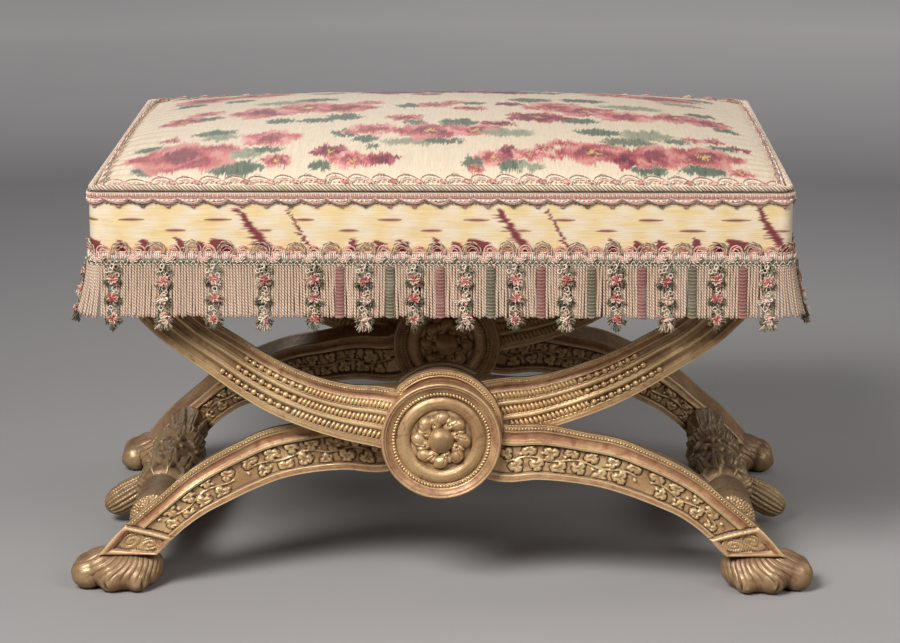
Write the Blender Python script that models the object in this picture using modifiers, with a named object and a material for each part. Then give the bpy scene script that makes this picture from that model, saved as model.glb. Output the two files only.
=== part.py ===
"""Giltwood stool on two carved crosses, with a boxed and fringed silk seat.

X runs across the stool, Y from front to back and Z up. The origin is on the floor under the middle
of the seat. Each cross is made of two S-shaped members that lie face to face at the crossing and
are pinned there through a pair of turned roundels. Four boards carry webbing and a stuffed, domed
seat.
"""
import math

import bmesh
import bpy
from mathutils import Matrix, Vector

# Fits, in metres
touch_clearance = 0.0003
bore_clearance = 0.0003
cut_overrun = 0.004
joint_overlap = 0.003
weld_distance = 0.00001

# Seat, in metres
seat_width = 0.658
seat_depth = 0.500
seat_corner_radius = 0.012
seat_underside_height = 0.340
boxing_height = 0.061
boxing_thickness = 0.0015
crown_rise = 0.038
cover_thickness = 0.0015
cover_path_shares = (0.0, 0.016, 0.05, 0.13, 0.27, 0.46, 0.70)
crown_power_across = 0.38
crown_power_deep = 0.50
cover_corner_steps = 3
cover_side_steps = (7, 5)

# Seat boards, webbing and base cloth, in metres
board_width = 0.084
board_thickness = 0.026
board_tenon_length = 0.020
board_tenon_thickness = 0.010
board_tenon_width = 0.050
corner_block_leg = 0.045
corner_block_thickness = 0.022
strap_width = 0.052
strap_thickness = 0.0012
strap_lap = 0.045
long_strap_count = 3
cross_strap_count = 4
base_cloth_thickness = 0.001

# Trimmings, in metres
edge_cord_radius = 0.0028
top_gimp_radius = 0.0020
top_gimp_inset = 0.006
top_gimp_steps = (9, 7)
slope_probe_share = 0.125
gimp_height = 0.014
gimp_thickness = 0.0020
heading_height = 0.024
heading_thickness = 0.0022
heading_drop = 0.007
fringe_length = 0.0515
fringe_thickness = 0.0035
fringe_flare = 0.011
fringe_fold_depth = 0.0020
hanger_pitch = 0.048
hanger_drop = 0.0095
fringe_rows_shares = (0.0, 0.5, 1.0)
fringe_flare_power = 1.5
fringe_corner_power = 12
fringe_steps_per_hanger = 4

# Crosses, in metres
cross_face_inset = 0.0295
member_thickness = 0.032
ankle_thickness = 0.050
carving_depth = 0.0035
foot_reach = 0.3615
eye_radius = 0.0575
eye_lift = 0.0095
eye_relief = 0.0005
cross_height_share = 0.456

# Joints of the crosses, in metres
arm_tenon_length = 0.020
arm_tenon_width = 0.030
arm_tenon_thickness = 0.018
ankle_tenon_radius = 0.010
ankle_tenon_length = 0.018
pin_radius = 0.006

# Roundels and knobs, in metres
roundel_radius = 0.058
roundel_thickness = 0.0115
roundel_dish_depth = 0.006
rosette_radius = 0.028
rosette_crest_share = 0.6
rosette_carved_share = 0.8
petal_lift = 0.0030
petal_floor_share = 0.25
petal_count = 8
steps_per_petal = 4
knob_radius = 0.0125
knob_height = 0.009

# Paws, in metres
paw_height = 0.036
paw_width = 0.074
paw_forward = 0.0045
paw_heel_share = 0.05
toe_radius = 0.0165
toe_height_share = 0.9

# Side stretchers, in metres
stretcher_radius = 0.029
stretcher_tenon_radius = 0.009
stretcher_tenon_length = 0.020
bud_length = 0.083
bud_radius = 0.0160
bud_slope = 0.63

# Sides of the round forms and steps of a round corner
eye_sides = 36
rod_sides = 16
knob_sides = 24
knob_steps = 4
paw_sides = 16
toe_sides = 10
toe_rows = 7
stretcher_sides = 16
bud_sides = 14
corner_steps = 4

# The edges of a member, from the crossing outwards: the shares across the stool, then the shares of
# the height under the seat, of its upper edge and of its lower edge
arm_shares = (
    (0.167, 0.605, 0.167, 0.424),
    (0.252, 0.610, 0.291, 0.452),
    (0.334, 0.626, 0.401, 0.487),
    (0.419, 0.656, 0.504, 0.531),
    (0.501, 0.697, 0.595, 0.586),
    (0.577, 0.744, 0.683, 0.649),
    (0.647, 0.788, 0.765, 0.706),
    (0.717, 0.847, 0.844, 0.771),
    (0.775, 0.918, 0.917, 0.859),
    (0.808, 1.000, 0.963, 1.000),
)
leg_shares = (
    (0.152, 0.500, 0.152, 0.329),
    (0.277, 0.494, 0.257, 0.334),
    (0.382, 0.473, 0.349, 0.326),
    (0.476, 0.453, 0.432, 0.310),
    (0.559, 0.416, 0.509, 0.284),
    (0.636, 0.376, 0.575, 0.256),
    (0.703, 0.328, 0.633, 0.228),
    (0.763, 0.272, 0.680, 0.194),
    (0.816, 0.224, 0.714, 0.162),
    (0.869, 0.172, 0.741, 0.129),
)
ankle_shares = (0.921, 0.763)
crossing_shares = (0.571, 0.376)
set_back_shares = (0.375, 0.74)
swell_shares = (0.375, 0.70)

# The carved faces, from the upper edge of a member to its lower edge: shares of its width, then of
# the depth of the carving
flute_shares = (
    (0.0, 0.15), (0.12, 0.0), (0.20, 0.75), (0.27, 0.15), (0.36, 1.0), (0.45, 0.0),
    (0.56, 1.0), (0.66, 0.0), (0.78, 1.0), (0.90, 0.0), (1.0, 0.15),
)
panel_shares = (
    (0.0, 0.15), (0.12, 0.0), (0.20, 0.6), (0.27, 0.15), (0.29, 1.0), (0.45, 0.9),
    (0.60, 0.9), (0.78, 0.9), (0.87, 1.0), (0.89, 0.1), (1.0, 0.15),
)
plain_shares = tuple((across, 0.0) for across, _ in flute_shares)

# The turned forms, as shares
roundel_shares = (
    (0.0, 0.0), (0.0, 0.55), (0.10, 0.95), (0.17, 0.80), (0.22, 0.95), (0.30, 0.80),
)
stretcher_shares = (
    (0.0, 0.86), (0.10, 1.0), (0.22, 0.90), (0.28, 0.68), (0.36, 0.92), (0.45, 0.98),
    (0.49, 0.66), (0.66, 0.62), (0.84, 0.76), (1.0, 0.84),
)
bud_shares = (
    (0.0, 0.70), (0.20, 0.66), (0.42, 0.86), (0.62, 1.0), (0.80, 0.95), (0.92, 0.72),
    (0.98, 0.40),
)
paw_shares = (
    (0.0, 0.16, 0.84, 0.80), (0.14, 0.09, 0.92, 0.92), (0.42, 0.02, 0.94, 0.96),
    (0.72, 0.0, 0.86, 0.88), (1.0, 0.055, 0.68, 0.70),
)
toe_shares = (
    (0.84, 0.22, 0.62, 1.0), (0.80, -0.30, 0.66, 1.04), (0.54, -0.62, 0.60, 0.96),
    (0.26, -0.58, 0.55, 0.84),
)

half_width = seat_width / 2
half_depth = seat_depth / 2
seam_height = seat_underside_height + boxing_height
cross_face = half_depth - cross_face_inset
arm_plane = cross_face - member_thickness / 2
ankle_plane = cross_face - ankle_thickness / 2
cross_height = seat_underside_height * cross_height_share
board_top_height = seat_underside_height + board_thickness
paw_inner_reach = foot_reach * ankle_shares[1] - paw_width * paw_heel_share
paw_length = foot_reach - paw_inner_reach


def clear_scene():
    for old in list(bpy.data.objects):
        bpy.data.objects.remove(old, do_unlink=True)


def new_collection(name):
    collection = bpy.data.collections.new(name)
    bpy.context.scene.collection.children.link(collection)
    return collection


def new_material(name, colour, roughness, metallic=0.0):
    material = bpy.data.materials.new(name)
    material.use_nodes = True
    shader = material.node_tree.nodes["Principled BSDF"]
    shader.inputs["Base Color"].default_value = (*colour, 1.0)
    shader.inputs["Roughness"].default_value = roughness
    shader.inputs["Metallic"].default_value = metallic
    material.diffuse_color = (*colour, 1.0)
    return material


clear_scene()
parts = new_collection("giltwood_stool")
cutters = new_collection("cutters")

gilt = new_material("gilt_wood", (0.72, 0.52, 0.26), 0.38, 0.85)
beech = new_material("beech_wood", (0.58, 0.42, 0.26), 0.65)
cover_silk = new_material("cover_silk", (0.86, 0.77, 0.66), 0.42)
boxing_silk = new_material("boxing_silk", (0.90, 0.76, 0.42), 0.42)
trimming = new_material("trimming", (0.80, 0.62, 0.50), 0.75)
webbing = new_material("webbing", (0.66, 0.56, 0.40), 0.90)
hair_stuffing = new_material("hair_stuffing", (0.30, 0.24, 0.18), 0.95)


def place(name, data, material, is_cutter=False):
    """Make an object of a mesh or curve and put it in its collection."""
    piece = bpy.data.objects.new(name, data)
    if is_cutter:
        cutters.objects.link(piece)
        piece.hide_render = True
        piece.display_type = "WIRE"
    else:
        parts.objects.link(piece)
        data.materials.append(material)
    return piece


def finish_mesh(work, name, smooth_angle=None):
    """Turn a working mesh into mesh data with its faces pointing out."""
    bmesh.ops.recalc_face_normals(work, faces=work.faces)
    mesh = bpy.data.meshes.new(name)
    work.to_mesh(mesh)
    work.free()
    if smooth_angle is not None:
        mesh.shade_smooth()
        mesh.set_sharp_from_angle(angle=math.radians(smooth_angle))
    return mesh


def loft_mesh(name, rings, close_start=True, close_end=True, smooth_angle=None, crown=None):
    """Join equal rings of points into one skin. A crown point closes the last ring as a fan."""
    work = bmesh.new()
    loops = [[work.verts.new(point) for point in ring] for ring in rings]
    count = len(loops[0])
    for first, second in zip(loops, loops[1:]):
        for i in range(count):
            j = (i + 1) % count
            work.faces.new((first[i], first[j], second[j], second[i]))
    if close_start:
        work.faces.new(loops[0])
    if crown is not None:
        top = work.verts.new(crown)
        for i in range(count):
            work.faces.new((loops[-1][i], loops[-1][(i + 1) % count], top))
    elif close_end:
        work.faces.new(loops[-1])
    return finish_mesh(work, name, smooth_angle)


def box_mesh(name, low, high):
    work = bmesh.new()
    bmesh.ops.create_cube(work, size=1.0)
    low = Vector(low)
    high = Vector(high)
    size = high - low
    middle = (low + high) / 2
    bmesh.ops.scale(work, vec=size, verts=work.verts)
    bmesh.ops.translate(work, vec=middle, verts=work.verts)
    return finish_mesh(work, name)


def rod_mesh(name, radius, start, end, sides=rod_sides):
    """A cylinder between two points."""
    start = Vector(start)
    end = Vector(end)
    work = bmesh.new()
    bmesh.ops.create_cone(work, cap_ends=True, segments=sides, radius1=radius,
                          radius2=radius, depth=(end - start).length)
    turn = (end - start).to_track_quat("Z", "Y").to_matrix().to_4x4()
    bmesh.ops.transform(work, matrix=Matrix.Translation((start + end) / 2) @ turn,
                        verts=work.verts)
    return finish_mesh(work, name, smooth_angle=40)


def turned_mesh(name, profile, steps, start, axis, smooth_angle=35):
    """Turn (radius, height) points round an axis that leaves start, with a Screw modifier."""
    outline = bpy.data.meshes.new(name + "_outline")
    points = [(radius, 0.0, height) for radius, height in profile]
    edges = [(i, i + 1) for i in range(len(points) - 1)]
    if profile[0][0] > 0.0:
        edges.append((len(points) - 1, 0))
    outline.from_pydata(points, edges, [])
    holder = bpy.data.objects.new(name + "_holder", outline)
    cutters.objects.link(holder)
    screw = holder.modifiers.new("turn", "SCREW")
    screw.axis = "Z"
    screw.steps = steps
    screw.render_steps = steps
    screw.use_merge_vertices = True
    screw.merge_threshold = weld_distance
    depsgraph = bpy.context.evaluated_depsgraph_get()
    mesh = bpy.data.meshes.new_from_object(holder.evaluated_get(depsgraph))
    bpy.data.objects.remove(holder, do_unlink=True)
    work = bmesh.new()
    work.from_mesh(mesh)
    bpy.data.meshes.remove(mesh)
    bmesh.ops.remove_doubles(work, verts=work.verts, dist=weld_distance)
    turn = Vector(axis).to_track_quat("Z", "X").to_matrix().to_4x4()
    bmesh.ops.transform(work, matrix=Matrix.Translation(Vector(start)) @ turn, verts=work.verts)
    return finish_mesh(work, name, smooth_angle)


def add_boolean(piece, operand, operation):
    modifier = piece.modifiers.new(operation.lower(), "BOOLEAN")
    modifier.operation = operation
    modifier.solver = "EXACT"
    modifier.object = operand


def cut(piece, mesh):
    add_boolean(piece, place(mesh.name, mesh, None, is_cutter=True), "DIFFERENCE")


def fuse(piece, mesh):
    add_boolean(piece, place(mesh.name, mesh, None, is_cutter=True), "UNION")


def rounded_rectangle(half_x, half_y, radius, per_corner=corner_steps, side_steps=(1, 1)):
    """Points round a rectangle with round corners, anticlockwise from above.

    side_steps gives how many steps each side along X and each side along Y is divided into.
    """
    corners = []
    for sign_x, sign_y, quarter in ((1, 1, 0), (-1, 1, 1), (-1, -1, 2), (1, -1, 3)):
        centre_x = sign_x * (half_x - radius)
        centre_y = sign_y * (half_y - radius)
        corner = []
        for step in range(per_corner + 1):
            angle = math.pi / 2 * (quarter + step / per_corner)
            corner.append((centre_x + radius * math.cos(angle), centre_y + radius * math.sin(angle)))
        corners.append(corner)
    points = []
    for quarter, corner in enumerate(corners):
        points += corner
        start = corner[-1]
        stop = corners[(quarter + 1) % 4][0]
        steps = side_steps[quarter % 2]
        for step in range(1, steps):
            share = step / steps
            points.append((start[0] + (stop[0] - start[0]) * share,
                           start[1] + (stop[1] - start[1]) * share))
    return points


# Crosses

def ease(share, start, stop):
    """A smooth climb from 0 at the share start to 1 at the share stop."""
    climb = min(1.0, max(0.0, (share - start) / (stop - start)))
    return climb * climb * (3.0 - 2.0 * climb)


def member_stations(is_outer):
    """Sections of a member whose arm is on the left and whose leg is on the right.

    Each is (upper x, upper z, lower x, lower z, outer face, thickness, carving), where the outer
    face is a distance from the stool's middle and carving is a list of shares across the face. An
    inner member stands back by its own thickness at the crossing and comes flush at its ends.
    """
    height = seat_underside_height
    set_back = 0.0 if is_outer else member_thickness + touch_clearance
    stations = []

    def add(top_x, top_z, low_x, low_z, reach, swell, carving):
        share = (abs(top_x) + abs(low_x)) / 2
        face = cross_face - set_back * (1.0 - ease(share, *set_back_shares))
        thickness = member_thickness + swell * ease(share, *swell_shares)
        stations.append((top_x * reach, top_z * height, low_x * reach, low_z * height, face,
                         thickness, carving))

    for top_x, top_z, low_x, low_z in reversed(arm_shares):
        add(-top_x, top_z, -low_x, low_z, half_width, 0.0, flute_shares)
    add(0.0, crossing_shares[0], 0.0, crossing_shares[1], half_width, 0.0, plain_shares)
    leg_swell = ankle_thickness - member_thickness
    for top_x, top_z, low_x, low_z in leg_shares:
        add(top_x, top_z, low_x, low_z, foot_reach, leg_swell, panel_shares)
    ankle_share = (paw_height + touch_clearance) / height
    add(ankle_shares[0], ankle_share, ankle_shares[1], ankle_share, foot_reach, leg_swell,
        plain_shares)
    return stations


def member_mesh(name, side, is_outer, end):
    """Loft a carved member. side is 1 with the arm on the left; end is -1 in front, 1 behind."""
    rings = []
    for upper_x, upper_z, lower_x, lower_z, face, thickness, carving in member_stations(is_outer):
        ring = []
        for across, depth in carving:
            x = upper_x + (lower_x - upper_x) * across
            z = upper_z + (lower_z - upper_z) * across
            ring.append((side * x, end * (face - depth * carving_depth), z))
        for across, depth in reversed(carving):
            x = upper_x + (lower_x - upper_x) * across
            z = upper_z + (lower_z - upper_z) * across
            ring.append((side * x, end * (face - thickness + depth * carving_depth), z))
        rings.append(ring)
    return loft_mesh(name, rings, smooth_angle=30)


def leg_centre():
    """Where a stretcher's axis meets a leg, as (x, z) on the right: between the last two stations."""
    across = 0.0
    up = 0.0
    for top_x, top_z, low_x, low_z in leg_shares[-2:]:
        across += (top_x + low_x) / 4
        up += (top_z + low_z) / 4
    return (across * foot_reach, up * seat_underside_height)


def arm_top_centre():
    top_x, _, low_x, _ = arm_shares[-1]
    return (top_x + low_x) / 2 * half_width


def ankle_centre():
    return (ankle_shares[0] + ankle_shares[1]) / 2 * foot_reach


def member_outer_face(is_outer):
    """The distance of a member's outer face from the stool's middle, at the crossing."""
    return cross_face if is_outer else cross_face - member_thickness - touch_clearance


def add_eye(piece, is_outer, end):
    """The round pad behind a roundel. The outer one stands up above the arms as a hump."""
    face = member_outer_face(is_outer)
    near = face + eye_relief if is_outer else face
    far = face - member_thickness - (0.0 if is_outer else eye_relief)
    radius = eye_radius if is_outer else roundel_radius
    height = cross_height + (eye_lift if is_outer else 0.0)
    fuse(piece, rod_mesh(piece.name + "_eye", radius, (0.0, end * near, height),
                         (0.0, end * far, height), eye_sides))


def build_member(name, side, is_outer, end):
    piece = place(name, member_mesh(name, side, is_outer, end), gilt)
    add_eye(piece, is_outer, end)
    # Tenons at the top of the arm and under the ankle
    arm_x = -side * arm_top_centre()
    plane = end * arm_plane
    tenon_low = (arm_x - arm_tenon_width / 2, plane - arm_tenon_thickness / 2,
                 seat_underside_height - touch_clearance - joint_overlap)
    tenon_high = (arm_x + arm_tenon_width / 2, plane + arm_tenon_thickness / 2,
                  seat_underside_height + arm_tenon_length)
    fuse(piece, box_mesh(name + "_arm_tenon", tenon_low, tenon_high))
    ankle_x = side * ankle_centre()
    plane = end * ankle_plane
    fuse(piece, rod_mesh(name + "_ankle_tenon", ankle_tenon_radius,
                         (ankle_x, plane, paw_height + joint_overlap),
                         (ankle_x, plane, paw_height - ankle_tenon_length)))
    # Bores for the cross pin and for the side stretcher
    face = member_outer_face(is_outer)
    cut(piece, rod_mesh(name + "_pin_bore", pin_radius + bore_clearance,
                        (0.0, end * (face - member_thickness - cut_overrun), cross_height),
                        (0.0, end * (face + cut_overrun), cross_height)))
    leg_x, leg_z = leg_centre()
    seat = cross_face - ankle_thickness
    bottom = seat + stretcher_tenon_length + bore_clearance
    cut(piece, rod_mesh(name + "_stretcher_bore", stretcher_tenon_radius + bore_clearance,
                        (side * leg_x, end * (seat - cut_overrun), leg_z),
                        (side * leg_x, end * bottom, leg_z)))


def build_crosses():
    for end, where in ((-1, "front"), (1, "rear")):
        build_member(where + "_cross_outer_member", 1, True, end)
        build_member(where + "_cross_inner_member", -1, False, end)


# Roundels, pins and knobs

def roundel_profile():
    """(radius, height) points of a roundel, from the bore round its face and rim to its back."""
    bore = pin_radius + bore_clearance
    floor = roundel_thickness - roundel_dish_depth
    points = [(bore, 0.0), (bore, floor), (knob_radius, floor)]
    points.append((rosette_radius * rosette_crest_share, floor + petal_lift))
    points.append((rosette_radius, floor))
    for inward, rise in reversed(roundel_shares):
        points.append((roundel_radius * (1 - inward), roundel_thickness * rise))
    return points


def roundel_seat(facing):
    """The distance of a roundel's back from the stool's middle: facing is 1 outside, -1 inside."""
    if facing > 0:
        return cross_face + eye_relief + touch_clearance
    return cross_face - 2 * member_thickness - eye_relief - 2 * touch_clearance


def carve_petals(mesh, start, axis):
    """Press furrows between the petals into the middle of a roundel."""
    start = Vector(start)
    axis = Vector(axis)
    floor = roundel_thickness - roundel_dish_depth
    side = Vector((1.0, 0.0, 0.0))
    for vertex in mesh.vertices:
        offset = vertex.co - start
        height = offset.dot(axis)
        flat = offset - axis * height
        if height <= floor + petal_lift * petal_floor_share:
            continue
        if flat.length > rosette_radius * rosette_carved_share:
            continue
        angle = math.atan2(flat.z, flat.dot(side))
        lobe = abs(math.cos(angle * petal_count / 2))
        vertex.co -= axis * petal_lift * (1 - lobe)
    return mesh


def build_roundels():
    for end, where in ((-1, "front"), (1, "rear")):
        for facing, which in ((1, "outer"), (-1, "inner")):
            start = (0.0, end * roundel_seat(facing), cross_height)
            axis = (0.0, float(end * facing), 0.0)
            name = where + "_" + which + "_roundel"
            sides = petal_count * steps_per_petal
            mesh = turned_mesh(name, roundel_profile(), sides, start, axis)
            place(name, carve_petals(mesh, start, axis), gilt)


def knob_profile(shank_radius):
    """A dome on a flat base, from the top down to the shank."""
    points = []
    for step in range(knob_steps + 1):
        angle = math.pi / 2 * step / knob_steps
        points.append((knob_radius * math.sin(angle), knob_height * math.cos(angle)))
    points.append((shank_radius, 0.0))
    return points


def build_pins():
    floor = roundel_thickness - roundel_dish_depth
    outer = roundel_seat(1) + floor + touch_clearance
    inner = roundel_seat(-1) - floor - touch_clearance
    for end, where in ((-1, "front"), (1, "rear")):
        profile = knob_profile(pin_radius)
        profile.append((pin_radius, inner - outer))
        profile.append((0.0, inner - outer))
        axis = (0.0, float(end), 0.0)
        front = (0.0, end * outer, cross_height)
        mesh = turned_mesh(where + "_cross_pin", profile, knob_sides, front, axis)
        place(mesh.name, mesh, gilt)
        profile = knob_profile(0.0)
        back = (0.0, end * (inner - touch_clearance), cross_height)
        axis = (0.0, -float(end), 0.0)
        mesh = turned_mesh(where + "_inner_knob", profile, knob_sides, back, axis)
        place(mesh.name, mesh, gilt)


# Paws

def paw_point(across, deep, rise, side, end):
    """A point of a paw: shares of its length from the heel, of half its width and of its height."""
    x = side * (paw_inner_reach + paw_length * across)
    y = end * (ankle_plane + paw_forward - deep * paw_width / 2)
    return Vector((x, y, rise * paw_height))


def toe_mesh(name, centre, radius):
    work = bmesh.new()
    bmesh.ops.create_uvsphere(work, u_segments=toe_sides, v_segments=toe_rows, radius=radius)
    bmesh.ops.translate(work, vec=centre, verts=work.verts)
    return finish_mesh(work, name, smooth_angle=50)


def build_paw(name, side, end):
    rings = []
    for rise, heel, tip, width in paw_shares:
        ring = []
        for step in range(paw_sides):
            angle = 2 * math.pi * step / paw_sides
            across = (heel + tip) / 2 + (tip - heel) / 2 * math.cos(angle)
            ring.append(paw_point(across, width * math.sin(angle), rise, side, end))
        rings.append(ring)
    piece = place(name, loft_mesh(name, rings, smooth_angle=50), gilt)
    for index, (across, deep, size, rise) in enumerate(toe_shares):
        radius = toe_radius * size / toe_shares[0][2]
        centre = paw_point(across, deep, 0.0, side, end)
        centre.z = radius * rise * toe_height_share
        fuse(piece, toe_mesh(name + "_toe_" + str(index + 1), centre, radius))
    reach = 2 * foot_reach
    cut(piece, box_mesh(name + "_floor", (-reach, -reach, -reach), (reach, reach, 0.0)))
    x = side * ankle_centre()
    plane = end * ankle_plane
    cut(piece, rod_mesh(name + "_socket", ankle_tenon_radius + bore_clearance,
                        (x, plane, paw_height + cut_overrun),
                        (x, plane, paw_height - ankle_tenon_length - bore_clearance)))


def build_paws():
    for end, where in ((-1, "front"), (1, "rear")):
        for side, hand in ((-1, "left"), (1, "right")):
            build_paw(where + "_" + hand + "_paw", side, end)


# Side stretchers

def build_stretchers():
    leg_x, leg_z = leg_centre()
    half_length = cross_face - ankle_thickness - touch_clearance
    tenon_end = half_length + stretcher_tenon_length
    for side, hand in ((-1, "left"), (1, "right")):
        profile = [(0.0, tenon_end), (stretcher_tenon_radius, tenon_end)]
        profile.append((stretcher_tenon_radius, half_length))
        for along, swell in reversed(stretcher_shares):
            profile.append((stretcher_radius * swell, half_length * along))
        for along, swell in stretcher_shares[1:]:
            profile.append((stretcher_radius * swell, -half_length * along))
        profile.append((stretcher_tenon_radius, -half_length))
        profile.append((stretcher_tenon_radius, -tenon_end))
        profile.append((0.0, -tenon_end))
        name = hand + "_stretcher"
        centre = (side * leg_x, 0.0, leg_z)
        mesh = turned_mesh(name, profile, stretcher_sides, centre, (0.0, 1.0, 0.0))
        piece = place(name, mesh, gilt)
        lean = math.atan(bud_slope)
        axis = (side * math.cos(lean), 0.0, -math.sin(lean))
        profile = [(0.0, bud_length)]
        for along, swell in reversed(bud_shares):
            profile.append((bud_radius * swell, bud_length * along))
        profile.append((0.0, 0.0))
        fuse(piece, turned_mesh(name + "_bud", profile, bud_sides, centre, axis))


# Seat boards

def long_board_mesh(name, half_run, near, far, end):
    """A front or rear board, straight on its inner side and round at its two outer corners."""
    outline = [(-half_run, end * near), (half_run, end * near)]
    for sign_x, quarter in ((1, 0), (-1, 1)):
        for step in range(corner_steps + 1):
            angle = math.pi / 2 * (quarter + step / corner_steps)
            x = sign_x * (half_run - seat_corner_radius) + seat_corner_radius * math.cos(angle)
            y = far - seat_corner_radius + seat_corner_radius * math.sin(angle)
            outline.append((x, end * y))
    rings = [[(x, y, z) for x, y in outline] for z in (seat_underside_height, board_top_height)]
    return loft_mesh(name, rings)


def build_boards():
    inner_x = half_width - boxing_thickness - touch_clearance
    inner_y = half_depth - boxing_thickness - touch_clearance
    low = seat_underside_height
    middle = low + board_thickness / 2
    edge = inner_y - board_width
    arm_x = arm_top_centre()
    for end, where in ((-1, "front"), (1, "rear")):
        near = end * edge
        name = where + "_seat_board"
        piece = place(name, long_board_mesh(name, inner_x, edge, inner_y, end), beech)
        for side, hand in ((-1, "left"), (1, "right")):
            plane = end * arm_plane
            half_x = arm_tenon_width / 2 + bore_clearance
            half_y = arm_tenon_thickness / 2 + bore_clearance
            cut(piece, box_mesh(
                where + "_" + hand + "_arm_mortise",
                (side * arm_x - half_x, plane - half_y, low - cut_overrun),
                (side * arm_x + half_x, plane + half_y, low + arm_tenon_length + bore_clearance)))
            board_x = inner_x - board_width / 2
            half_x = board_tenon_width / 2 + bore_clearance
            half_z = board_tenon_thickness / 2 + bore_clearance
            depth = board_tenon_length + bore_clearance
            start = near - end * cut_overrun
            stop = near + end * depth
            cut(piece, box_mesh(
                where + "_" + hand + "_board_mortise",
                (side * board_x - half_x, min(start, stop), middle - half_z),
                (side * board_x + half_x, max(start, stop), middle + half_z)))
    for side, hand in ((-1, "left"), (1, "right")):
        near = side * (inner_x - board_width)
        far = side * inner_x
        length = edge - touch_clearance
        piece = place(hand + "_seat_board", box_mesh(
            hand + "_seat_board", (min(near, far), -length, low),
            (max(near, far), length, board_top_height)), beech)
        board_x = side * (inner_x - board_width / 2)
        reach = edge + board_tenon_length
        fuse(piece, box_mesh(
            hand + "_board_tenon",
            (board_x - board_tenon_width / 2, -reach, middle - board_tenon_thickness / 2),
            (board_x + board_tenon_width / 2, reach, middle + board_tenon_thickness / 2)))
    corner_x = inner_x - board_width - touch_clearance
    corner_y = edge - touch_clearance
    block_low = low + (board_thickness - corner_block_thickness) / 2
    for end, where in ((-1, "front"), (1, "rear")):
        for side, hand in ((-1, "left"), (1, "right")):
            outline = [(side * corner_x, end * corner_y),
                       (side * (corner_x - corner_block_leg), end * corner_y),
                       (side * corner_x, end * (corner_y - corner_block_leg))]
            rings = [[(x, y, z) for x, y in outline]
                     for z in (block_low, block_low + corner_block_thickness)]
            name = where + "_" + hand + "_corner_block"
            place(name, loft_mesh(name, rings), beech)


# Webbing and base cloth

def strap_rings(path, half_width_vector):
    """Rings of a flat strap along a path of points, with its thickness upwards."""
    rings = []
    for point in path:
        point = Vector(point)
        rise = Vector((0.0, 0.0, strap_thickness))
        rings.append([point - half_width_vector, point + half_width_vector,
                      point + half_width_vector + rise, point - half_width_vector + rise])
    return rings


def build_webbing():
    rest = board_top_height + touch_clearance
    open_x = half_width - boxing_thickness - touch_clearance - board_width
    open_y = half_depth - boxing_thickness - touch_clearance - board_width
    rows = [2 * open_y * (i + 1) / (long_strap_count + 1) - open_y for i in range(long_strap_count)]
    half_strap = strap_width / 2
    for index, y in enumerate(rows):
        reach = open_x + strap_lap
        path = [(-reach, y, rest), (reach, y, rest)]
        name = "long_strap_" + str(index + 1)
        place(name, loft_mesh(name, strap_rings(path, Vector((0.0, half_strap, 0.0)))), webbing)
    columns = [2 * open_x * (i + 1) / (cross_strap_count + 1) - open_x
               for i in range(cross_strap_count)]
    step = strap_thickness + touch_clearance
    for index, x in enumerate(columns):
        reach = open_y + strap_lap
        path = [(x, -reach, rest), (x, -open_y, rest)]
        for row, y in enumerate(rows):
            level = rest + (step if (row + index) % 2 else -step)
            path.append((x, y - half_strap, level))
            path.append((x, y + half_strap, level))
        path.append((x, open_y, rest))
        path.append((x, reach, rest))
        name = "cross_strap_" + str(index + 1)
        place(name, loft_mesh(name, strap_rings(path, Vector((half_strap, 0.0, 0.0)))), webbing)


def cloth_height():
    """The underside of the base cloth, which lies on the highest straps."""
    return board_top_height + 2 * (strap_thickness + touch_clearance) + touch_clearance


def build_base_cloth():
    inset = boxing_thickness + touch_clearance
    low = cloth_height()
    path = rounded_rectangle(half_width - inset, half_depth - inset, seat_corner_radius)
    rings = [[(x, y, z) for x, y in path] for z in (low, low + base_cloth_thickness)]
    place("base_cloth", loft_mesh("base_cloth", rings), webbing)


# Stuffing, cover and boxing

def crown_height(x, y, half_x, half_y):
    """Height of the domed top above the seam, over a seat of the given half sizes."""
    across = max(0.0, 1.0 - (x / half_x) ** 2)
    deep = max(0.0, 1.0 - (y / half_y) ** 2)
    return crown_rise * across ** crown_power_across * deep ** crown_power_deep


def cover_half_sizes():
    tuck = 2 * edge_cord_radius + touch_clearance
    return half_width - tuck, half_depth - tuck


def cover_outline(half_x, half_y):
    return rounded_rectangle(half_x, half_y, seat_corner_radius, cover_corner_steps,
                             cover_side_steps)


def crown_rings(sunk=0.0):
    """Rings of the domed top from the seam inwards, lowered and drawn in by the depth sunk."""
    half_x, half_y = cover_half_sizes()
    rings = []
    for share in cover_path_shares:
        inset = share * half_y
        outer = cover_outline(half_x - inset, half_y - inset)
        inner = cover_outline(half_x - inset - sunk, half_y - inset - sunk)
        ring = []
        for (x, y), (drawn_x, drawn_y) in zip(outer, inner):
            height = crown_height(x, y, half_x, half_y) - sunk
            ring.append((drawn_x, drawn_y, seam_height + touch_clearance + height))
        rings.append(ring)
    return rings


def build_cover():
    rings = crown_rings()
    top = (0.0, 0.0, seam_height + touch_clearance + crown_rise)
    mesh = loft_mesh("top_cover", rings, close_start=False, crown=top, smooth_angle=60)
    piece = place("top_cover", mesh, cover_silk)
    shell = piece.modifiers.new("thickness", "SOLIDIFY")
    shell.thickness = cover_thickness
    shell.offset = -1.0
    shell.use_even_offset = False


def build_stuffing():
    low = cloth_height() + base_cloth_thickness + touch_clearance
    sunk = cover_thickness + touch_clearance
    wall = boxing_thickness + touch_clearance
    outline = cover_outline(half_width - wall, half_depth - wall)
    rings = [[(x, y, z) for x, y in outline] for z in (low, seam_height - sunk)]
    rings += crown_rings(sunk)
    top = (0.0, 0.0, seam_height + touch_clearance + crown_rise - sunk)
    mesh = loft_mesh("seat_stuffing", rings, crown=top, smooth_angle=60)
    place("seat_stuffing", mesh, hair_stuffing)


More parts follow.
